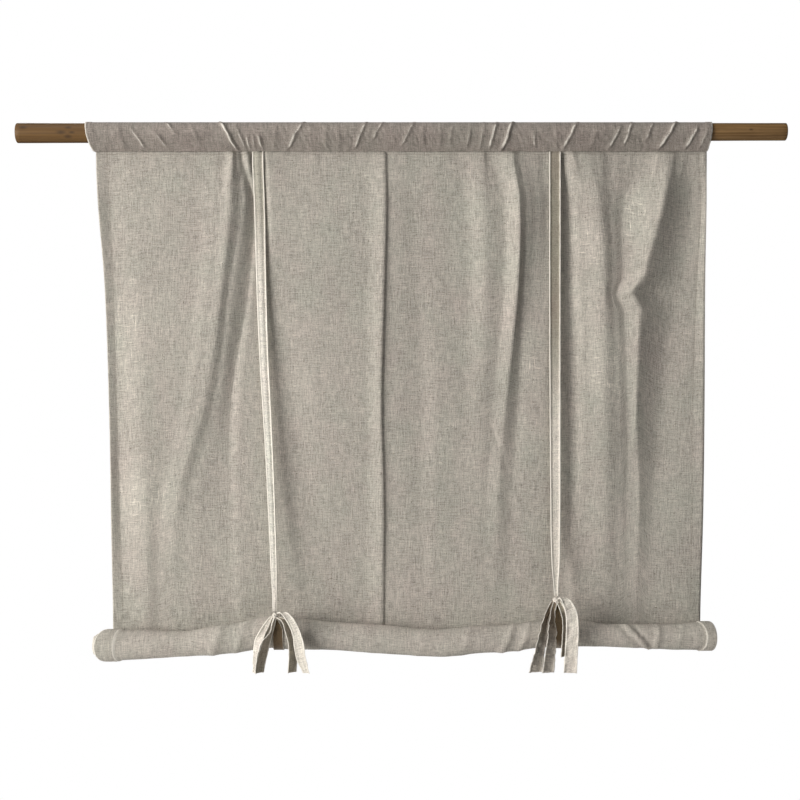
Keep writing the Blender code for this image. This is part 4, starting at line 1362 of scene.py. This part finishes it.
def build_ribbon(name, course, node, *, crinkle, seed, material, profile=PLAIN_PROFILE):
    """course has x, y, z, width and turn columns; profile is its section, in mm."""
    turn = np.radians(course[:, 4])
    side = np.stack([np.cos(turn), np.sin(turn), np.zeros_like(turn)], -1)
    middle = course[:, :3]
    points = middle[:, None, :] + side[:, None, :] * (course[:, 3, None] * RIBBON_ACROSS)[..., None]
    normals = grid_normals(points)
    along = lengths_along(points, 0)
    place_x = course[:, 3, None] * RIBBON_ACROSS
    wave = wander(place_x + 40 * seed, along, 9.0, seed)
    wave = wave + 0.6 * wander(place_x, along + 70 * seed, 4.5, seed)
    wave = wave * np.minimum(1.0, along / 12.0)
    lift = np.array(profile) * np.minimum(1.0, course[:, 3, None] / 14.0)
    points = points + normals * (lift + crinkle * wave)[..., None]
    edge = (0.5 - np.abs(RIBBON_ACROSS)) * course[:, 3, None]
    folded = soft_step((2.6 - edge) / 0.8)
    half = RIBBON_THICKNESS / 2 + 0.3 * folded
    cloth_map = np.stack([place_x + 30 * seed, -along], -1)
    edge_map = np.stack([edge, along], -1)
    piece = build_sheet(name, points, half, half, cloth_map, edge_map, material)
    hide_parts(node)
    return piece


# %% [markdown]
# Each pair of ribbons is sewn into the seam. One hangs in front of the panel, taut from the
# seam to the knot, and stands a little clear of the cloth wherever no fold reaches it.

# %% Strips
Strip = namedtuple("Strip", "side knot profile stations")
StripStation = namedtuple("StripStation", "x z width off")
STRIPS = (
    Strip("left", (-199.5, -30.5, -768.5), FOLDED_PROFILE, (
        StripStation(-229.5, -30.6, 17.5, 0.8), StripStation(-226.8, -130.0, 16.5, 3.0),
        StripStation(-224.4, -236.0, 15.5, 7.0), StripStation(-220.6, -345.0, 14.3, 11.0),
        StripStation(-216.0, -428.0, 13.4, 14.0), StripStation(-211.5, -508.0, 12.2, 16.0),
        StripStation(-207.4, -588.0, 11.2, 22.0), StripStation(-202.5, -690.0, 9.4, 36.0),
        StripStation(-200.0, -761.6, 6.0, 50.0),
    )),
    Strip("right", (244.5, -26.0, -745.0), FLAT_PROFILE, (
        StripStation(245.5, -30.6, 18.0, 0.8), StripStation(245.5, -108.0, 18.0, 2.5),
        StripStation(245.5, -236.0, 17.9, 3.5), StripStation(245.7, -330.0, 17.5, 6.0),
        StripStation(246.0, -428.0, 17.0, 9.0), StripStation(246.2, -508.0, 16.5, 11.0),
        StripStation(246.5, -588.0, 15.8, 13.0), StripStation(246.0, -684.0, 13.0, 19.0),
        StripStation(244.5, -738.1, 6.0, 43.0),
    )),
)
STRIP_STEPS = 90
STRIP_SMOOTHINGS = 14
STRIP_CLEARANCE = 2.0
FRONT_LINENS = (left_strip_linen_painted_shade, right_strip_linen_painted_shade)


def panel_reach(x, z, width, side):
    """The panel's foremost (side -1) or rearmost (side +1) surface across a ribbon."""
    across = x + width * np.linspace(-0.6, 0.6, 9)
    depths = panel_depth(across, np.full(9, z))
    return float(depths.max() if side > 0 else depths.min()) + side * PANEL_THICKNESS / 2


def front_course(strip):
    """The strip's middle line. off says how far it stands in front of the cloth behind it."""
    heights = [station.z for station in strip.stations]
    z = np.linspace(heights[0], heights[-1], STRIP_STEPS + 1)
    x, width, off = (
        smooth(heights, [getattr(station, column) for station in strip.stations], z)
        for column in ("x", "width", "off")
    )
    cloth = np.array([panel_reach(*place, -1) for place in zip(x, z, width)])
    y = cloth - off
    y += (strip.knot[1] - y[-1]) * soft_step((z - z[0]) / (z[-1] - z[0]) * 2.5 - 1.5)
    for _ in range(STRIP_SMOOTHINGS):
        y[1:-1] = (y[:-2] + y[1:-1] + y[2:]) / 3
    clear = cloth - np.minimum(STRIP_CLEARANCE, 0.8 + (z[0] - z) * 0.05)
    y = np.minimum(y, clear)
    return np.stack([x, y, z, width, np.zeros_like(z)], -1)


for number, (strip, linen) in enumerate(zip(STRIPS, FRONT_LINENS)):
    build_ribbon(
        f"{strip.side}_front_strip", front_course(strip), f"tie_{strip.side}_front",
        profile=strip.profile, crinkle=0.45, seed=2.0 + number, material=linen,
    )

# %% [markdown]
# The other ribbon of the pair runs down behind the panel, under the roll and up its front
# to the knot. Together they carry the roll like a sling.

# %% Back strips
BACK_STEPS = 59
ARC_STEPS = 30
BACK_STRIP_SHIFT = 4.4
BACK_CLEARANCE = 0.7
UNDER_CLEARANCE = 1.9
SLING_RISE = 6.0
KNOT_DROP = 6.0
KNOT_APPROACH = ((0.0, 0.0, 0.35, 0.95), (0.5, 0.2, 0.7, 0.75), (1.0, 0.6, 1.0, 0.5))


def back_course(strip):
    foot_x = strip.knot[0] + BACK_STRIP_SHIFT
    width = strip.stations[1].width
    centre_z = float(roll_centre_z(foot_x))
    course = []
    for step in range(BACK_STEPS + 1):
        z = mix(SEAM_Z, centre_z + SLING_RISE, step / BACK_STEPS)
        down = (SEAM_Z - z) / (SEAM_Z - centre_z)
        x = mix(strip.stations[0].x, foot_x, down)
        y = panel_reach(x, z, width, +1) + BACK_CLEARANCE + min(1.0, down * 8)
        course.append((x, y, z, width, 0.0))
    under = float(roll_radius(foot_x)) + UNDER_CLEARANCE
    behind = course[-1][1] - ROLL_CENTRE_Y
    for step in range(ARC_STEPS + 1):
        share = step / ARC_STEPS
        reach = mix(behind, under, float(soft_step(share * 3)))
        angle = -math.pi * share
        y, z = ROLL_CENTRE_Y + reach * math.cos(angle), centre_z + reach * math.sin(angle)
        course.append((foot_x, y, z, width, 0.0))
    knot_foot = strip.knot[2] - KNOT_DROP
    front_y = ROLL_CENTRE_Y - under
    for to_x, to_y, to_z, narrow in KNOT_APPROACH:
        x, y = mix(foot_x, strip.knot[0], to_x), mix(front_y, strip.knot[1], to_y)
        course.append((x, y, mix(centre_z, knot_foot, to_z), width * narrow, 0.0))
    return np.array(course)


# Their front part under the bow carries painted shade.
for number, strip in enumerate(STRIPS):
    build_ribbon(
        f"{strip.side}_back_strip", back_course(strip), f"tie_{strip.side}_back",
        crinkle=0.12, seed=5.0 + number, material=back_strip_linen_painted_shade,
    )

# %% [markdown]
# The bows hang in front of the roll. Each strand is a ribbon that leaves the knot narrow,
# because it is pinched there, opens out and turns its face as it falls.

# %% Bow strands
Strand = namedtuple("Strand", "side name stations")
STRANDS = (
    Strand("left", "outer_left", (
        (-203, -33, -769, 7, 0), (-209.5, -37, -781, 14, -10), (-215, -38.5, -793.6, 19, -12),
        (-224, -41, -808, 18, -45), (-228, -42, -828, 17, -60), (-230.2, -41, -857, 16, -70),
    )),
    Strand("left", "inner_left", (
        (-201, -33, -771, 7, 20), (-205, -37.5, -783, 12, 40), (-210.5, -39.5, -797, 17, 45),
        (-214, -39.5, -810, 18, 46), (-218, -39.5, -824, 18.5, 44), (-222.5, -39, -843, 18.5, 44),
        (-224.5, -38.5, -857, 18, 46),
    )),
    Strand("left", "inner_right", (
        (-196, -33, -771, 6, 10), (-184.5, -37, -776, 12, 40), (-177, -37.5, -793, 18, 45),
        (-172.6, -37.5, -809.5, 18, 45), (-171.3, -37.5, -827, 18, 45),
        (-173.2, -36.5, -856.5, 17, 42),
    )),
    Strand("left", "outer_right", (
        (-196, -31, -767, 7, 0), (-186, -37, -763.5, 11, 0), (-175.5, -41, -772, 14, -8),
        (-165.5, -42.5, -790.5, 15, -20), (-160.8, -43, -808, 18, -25),
        (-158.4, -42.5, -827, 18.5, -28), (-153.7, -41.5, -844, 16, -28),
        (-149, -41, -857, 11, -25),
    )),
    Strand("right", "outer_left", (
        (240, -28, -746, 7, 0), (231.5, -31.5, -762, 11, 25), (225.7, -33, -778, 13, 38),
        (222.2, -33, -793.6, 16, 38), (219.5, -33.5, -811, 19, 36), (216, -33.5, -827, 20, 28),
        (211.2, -32.5, -857, 23, 12),
    )),
    Strand("right", "inner_left", (
        (243, -29, -747, 7, 0), (238.5, -33.5, -760, 9, 30), (236, -36.5, -776, 14, 45),
        (236, -37, -791, 19, 42), (235, -37.5, -811, 19, 36), (233.2, -37, -827, 19.5, 26),
        (230.2, -36, -857, 19.5, 15),
    )),
    Strand("right", "short_end", (
        (248, -29, -746, 7, 0), (254.5, -31, -762, 10, 20), (257, -32, -778, 11, 40),
        (255.5, -32, -800, 11, 50), (253.5, -32, -833, 10, 50),
    )),
    Strand("right", "outer_right", (
        (247, -27, -744, 8, 0), (256, -33, -741.5, 13, -5), (263, -37, -751, 17, -10),
        (267.8, -39.5, -767, 19, -15), (268.7, -40, -795, 20, -15), (267, -39.5, -822, 20, -12),
        (265.3, -38, -857, 20.5, -8),
    )),
)
STRAND_STEPS = 12
# Strands in shade get the linens with painted shade.
STRAND_FINISHES = {
    "left outer_left": (1.1, bow_linen), "left inner_left": (0.9, bow_linen_painted_shade),
    "left inner_right": (0.8, bow_linen_painted_shade), "left outer_right": (1.0, bow_linen),
    "right outer_left": (2.2, crumpled_linen_painted_shade), "right inner_left": (2.4, crumpled_linen_painted_shade),
    "right short_end": (1.2, bow_linen_painted_shade), "right outer_right": (2.3, bow_linen),
}

for number, strand in enumerate(STRANDS):
    crinkle, finish = STRAND_FINISHES[f"{strand.side} {strand.name}"]
    build_ribbon(
        f"{strand.side}_bow_{strand.name}", ribbon_course(strand.stations, STRAND_STEPS),
        f"tie_{strand.side}_bow", profile=CURLED_PROFILE, crinkle=crinkle,
        seed=11.0 + number, material=finish,
    )

# %% [markdown]
# A knot is the ribbon pulled tight round itself. A ball with deep folds along the way the
# ribbon wraps it reads as one, and it hides where the strands start.

# %% Knots
KNOT_RADII = (5.4, 6.4, 5.6)
KNOT_TILTS = (0.5, -0.6)
KNOT_SEEDS = (3.0, 8.0)
WRAP_HEIGHT = 0.12


def build_knot(strip, tilt, seed):
    builder = bmesh.new()
    bmesh.ops.create_icosphere(builder, subdivisions=5, radius=1.0)
    for vertex in builder.verts:
        way = vertex.co.copy()
        lean = way.x * math.sin(tilt) + way.z * math.cos(tilt)
        wraps = math.cos(lean * 9.0 + 1.2 * way.x)
        pinch = 1.0 - 0.16 * max(0.0, 1.0 - abs(lean) * 3.0)
        uneven = 0.06 * noise.noise(way * 2.2 + Vector((seed, 0, 0)))
        size = pinch * (1.0 + WRAP_HEIGHT * wraps) + uneven
        vertex.co = Vector([
            (middle + radius * part * size) * MM
            for middle, radius, part in zip(strip.knot, KNOT_RADII, way)
        ])
    mesh = smooth_mesh(builder, f"{strip.side} knot")
    places = np.array([vertex.co[:] for vertex in mesh.vertices])
    lean = places[:, 0] * math.sin(tilt) + places[:, 2] * math.cos(tilt)
    # Pale lines along the wraps, a painted highlight
    wrap_highlight = np.abs(np.sin(lean * 600.0)) * 0.006
    set_maps(mesh, places[:, [0, 2]], np.stack([wrap_highlight, wrap_highlight], -1))
    piece = add_piece(f"{strip.side}_knot", mesh, bow_linen)
    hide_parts(f"tie_{strip.side}_bow")
    return piece


knots = [build_knot(*row) for row in zip(STRIPS, KNOT_TILTS, KNOT_SEEDS)]
print("knots", [knot.name for knot in knots])

# %% [markdown]
# Seams are sewn by machine: a stitch of about 3 mm, a gap where the thread dives, and the
# next stitch. Each stitch is a small rounded bar that lies in the cloth's surface.

# %% Stitches
STITCH_LENGTH = 2.6
STITCH_PITCH = 3.4
STITCH_RADIUS = 0.28
BAR_SHAPE = ((-0.5, 0.25), (-0.36, 0.85), (0.0, 1.0), (0.36, 0.85), (0.5, 0.25))
BAR_SIDES = 6
HIDDEN_ROWS = 8
ROLL_STITCH_COLUMN = 12


def read_path(at, values, place):
    return Vector([np.interp(place, at, values[:, axis]) for axis in range(3)])


def sew(name, path, outward, material):
    """Lay stitches along path, an array of points in mm, with the cloth's outward normals."""
    steps = np.linalg.norm(np.diff(path, axis=0), axis=1)
    at = np.concatenate([[0.0], np.cumsum(steps)])
    builder = bmesh.new()
    for start in np.arange(STITCH_PITCH / 2, at[-1] - STITCH_LENGTH, STITCH_PITCH):
        first, last = read_path(at, path, start), read_path(at, path, start + STITCH_LENGTH)
        up = read_path(at, outward, start).normalized()
        along = (last - first).normalized()
        across = along.cross(up).normalized()
        middle = (first + last) / 2 + up * STITCH_RADIUS * 0.3
        rings = []
        for share, size in BAR_SHAPE:
            ring = []
            for side in range(BAR_SIDES):
                angle = 2 * math.pi * side / BAR_SIDES
                offset = across * math.cos(angle) + up * math.sin(angle)
                point = middle + along * share * STITCH_LENGTH + offset * size * STITCH_RADIUS
                ring.append(builder.verts.new(point * MM))
            rings.append(ring)
        for before, after in zip(rings, rings[1:]):
            for side in range(BAR_SIDES):
                nxt = (side + 1) % BAR_SIDES
                builder.faces.new((before[side], before[nxt], after[nxt], after[side]))
        builder.faces.new(rings[0])
        builder.faces.new(rings[-1])
    bmesh.ops.recalc_face_normals(builder, faces=builder.faces)
    print(name, round(float(at[-1])), "mm of stitches")
    return add_piece(name, smooth_mesh(builder, name), material)


def surface_line(points, rows, columns, half):
    """Points and outward normals on a sheet's front along grid places."""
    normals = grid_normals(points)
    line, outward = points[rows, columns], normals[rows, columns]
    return line + outward * half, outward


panel_marks = panel_columns()
left_hem = panel_marks.index((1, 0.0))
right_hem = panel_marks.index((32, 0.0))
rows = np.arange(PANEL_ROWS - HIDDEN_ROWS)
for name, column in (("left_hem_stitches", left_hem), ("right_hem_stitches", right_hem)):
    line, outward = surface_line(panel_points, rows, column, PANEL_THICKNESS / 2)
    sew(name, line, outward, thread_painted_shade)

columns = np.arange(2, len(panel_marks) - 2)
line, outward = surface_line(panel_points, 1, columns, PANEL_THICKNESS / 2)
seam_thread = sew("seam_stitches", line, outward, thread_painted_shade)

rows = np.arange(len(roll_points))[-OUTER_STEPS + 4:-6]
for name, column in (
    ("roll_left_hem_stitches", ROLL_STITCH_COLUMN),
    ("roll_right_hem_stitches", ROLL_COLUMNS - ROLL_STITCH_COLUMN),
):
    line, outward = surface_line(roll_points, rows, column, ROLL_THICKNESS / 2)
    sew(name, line, outward, cream_thread)
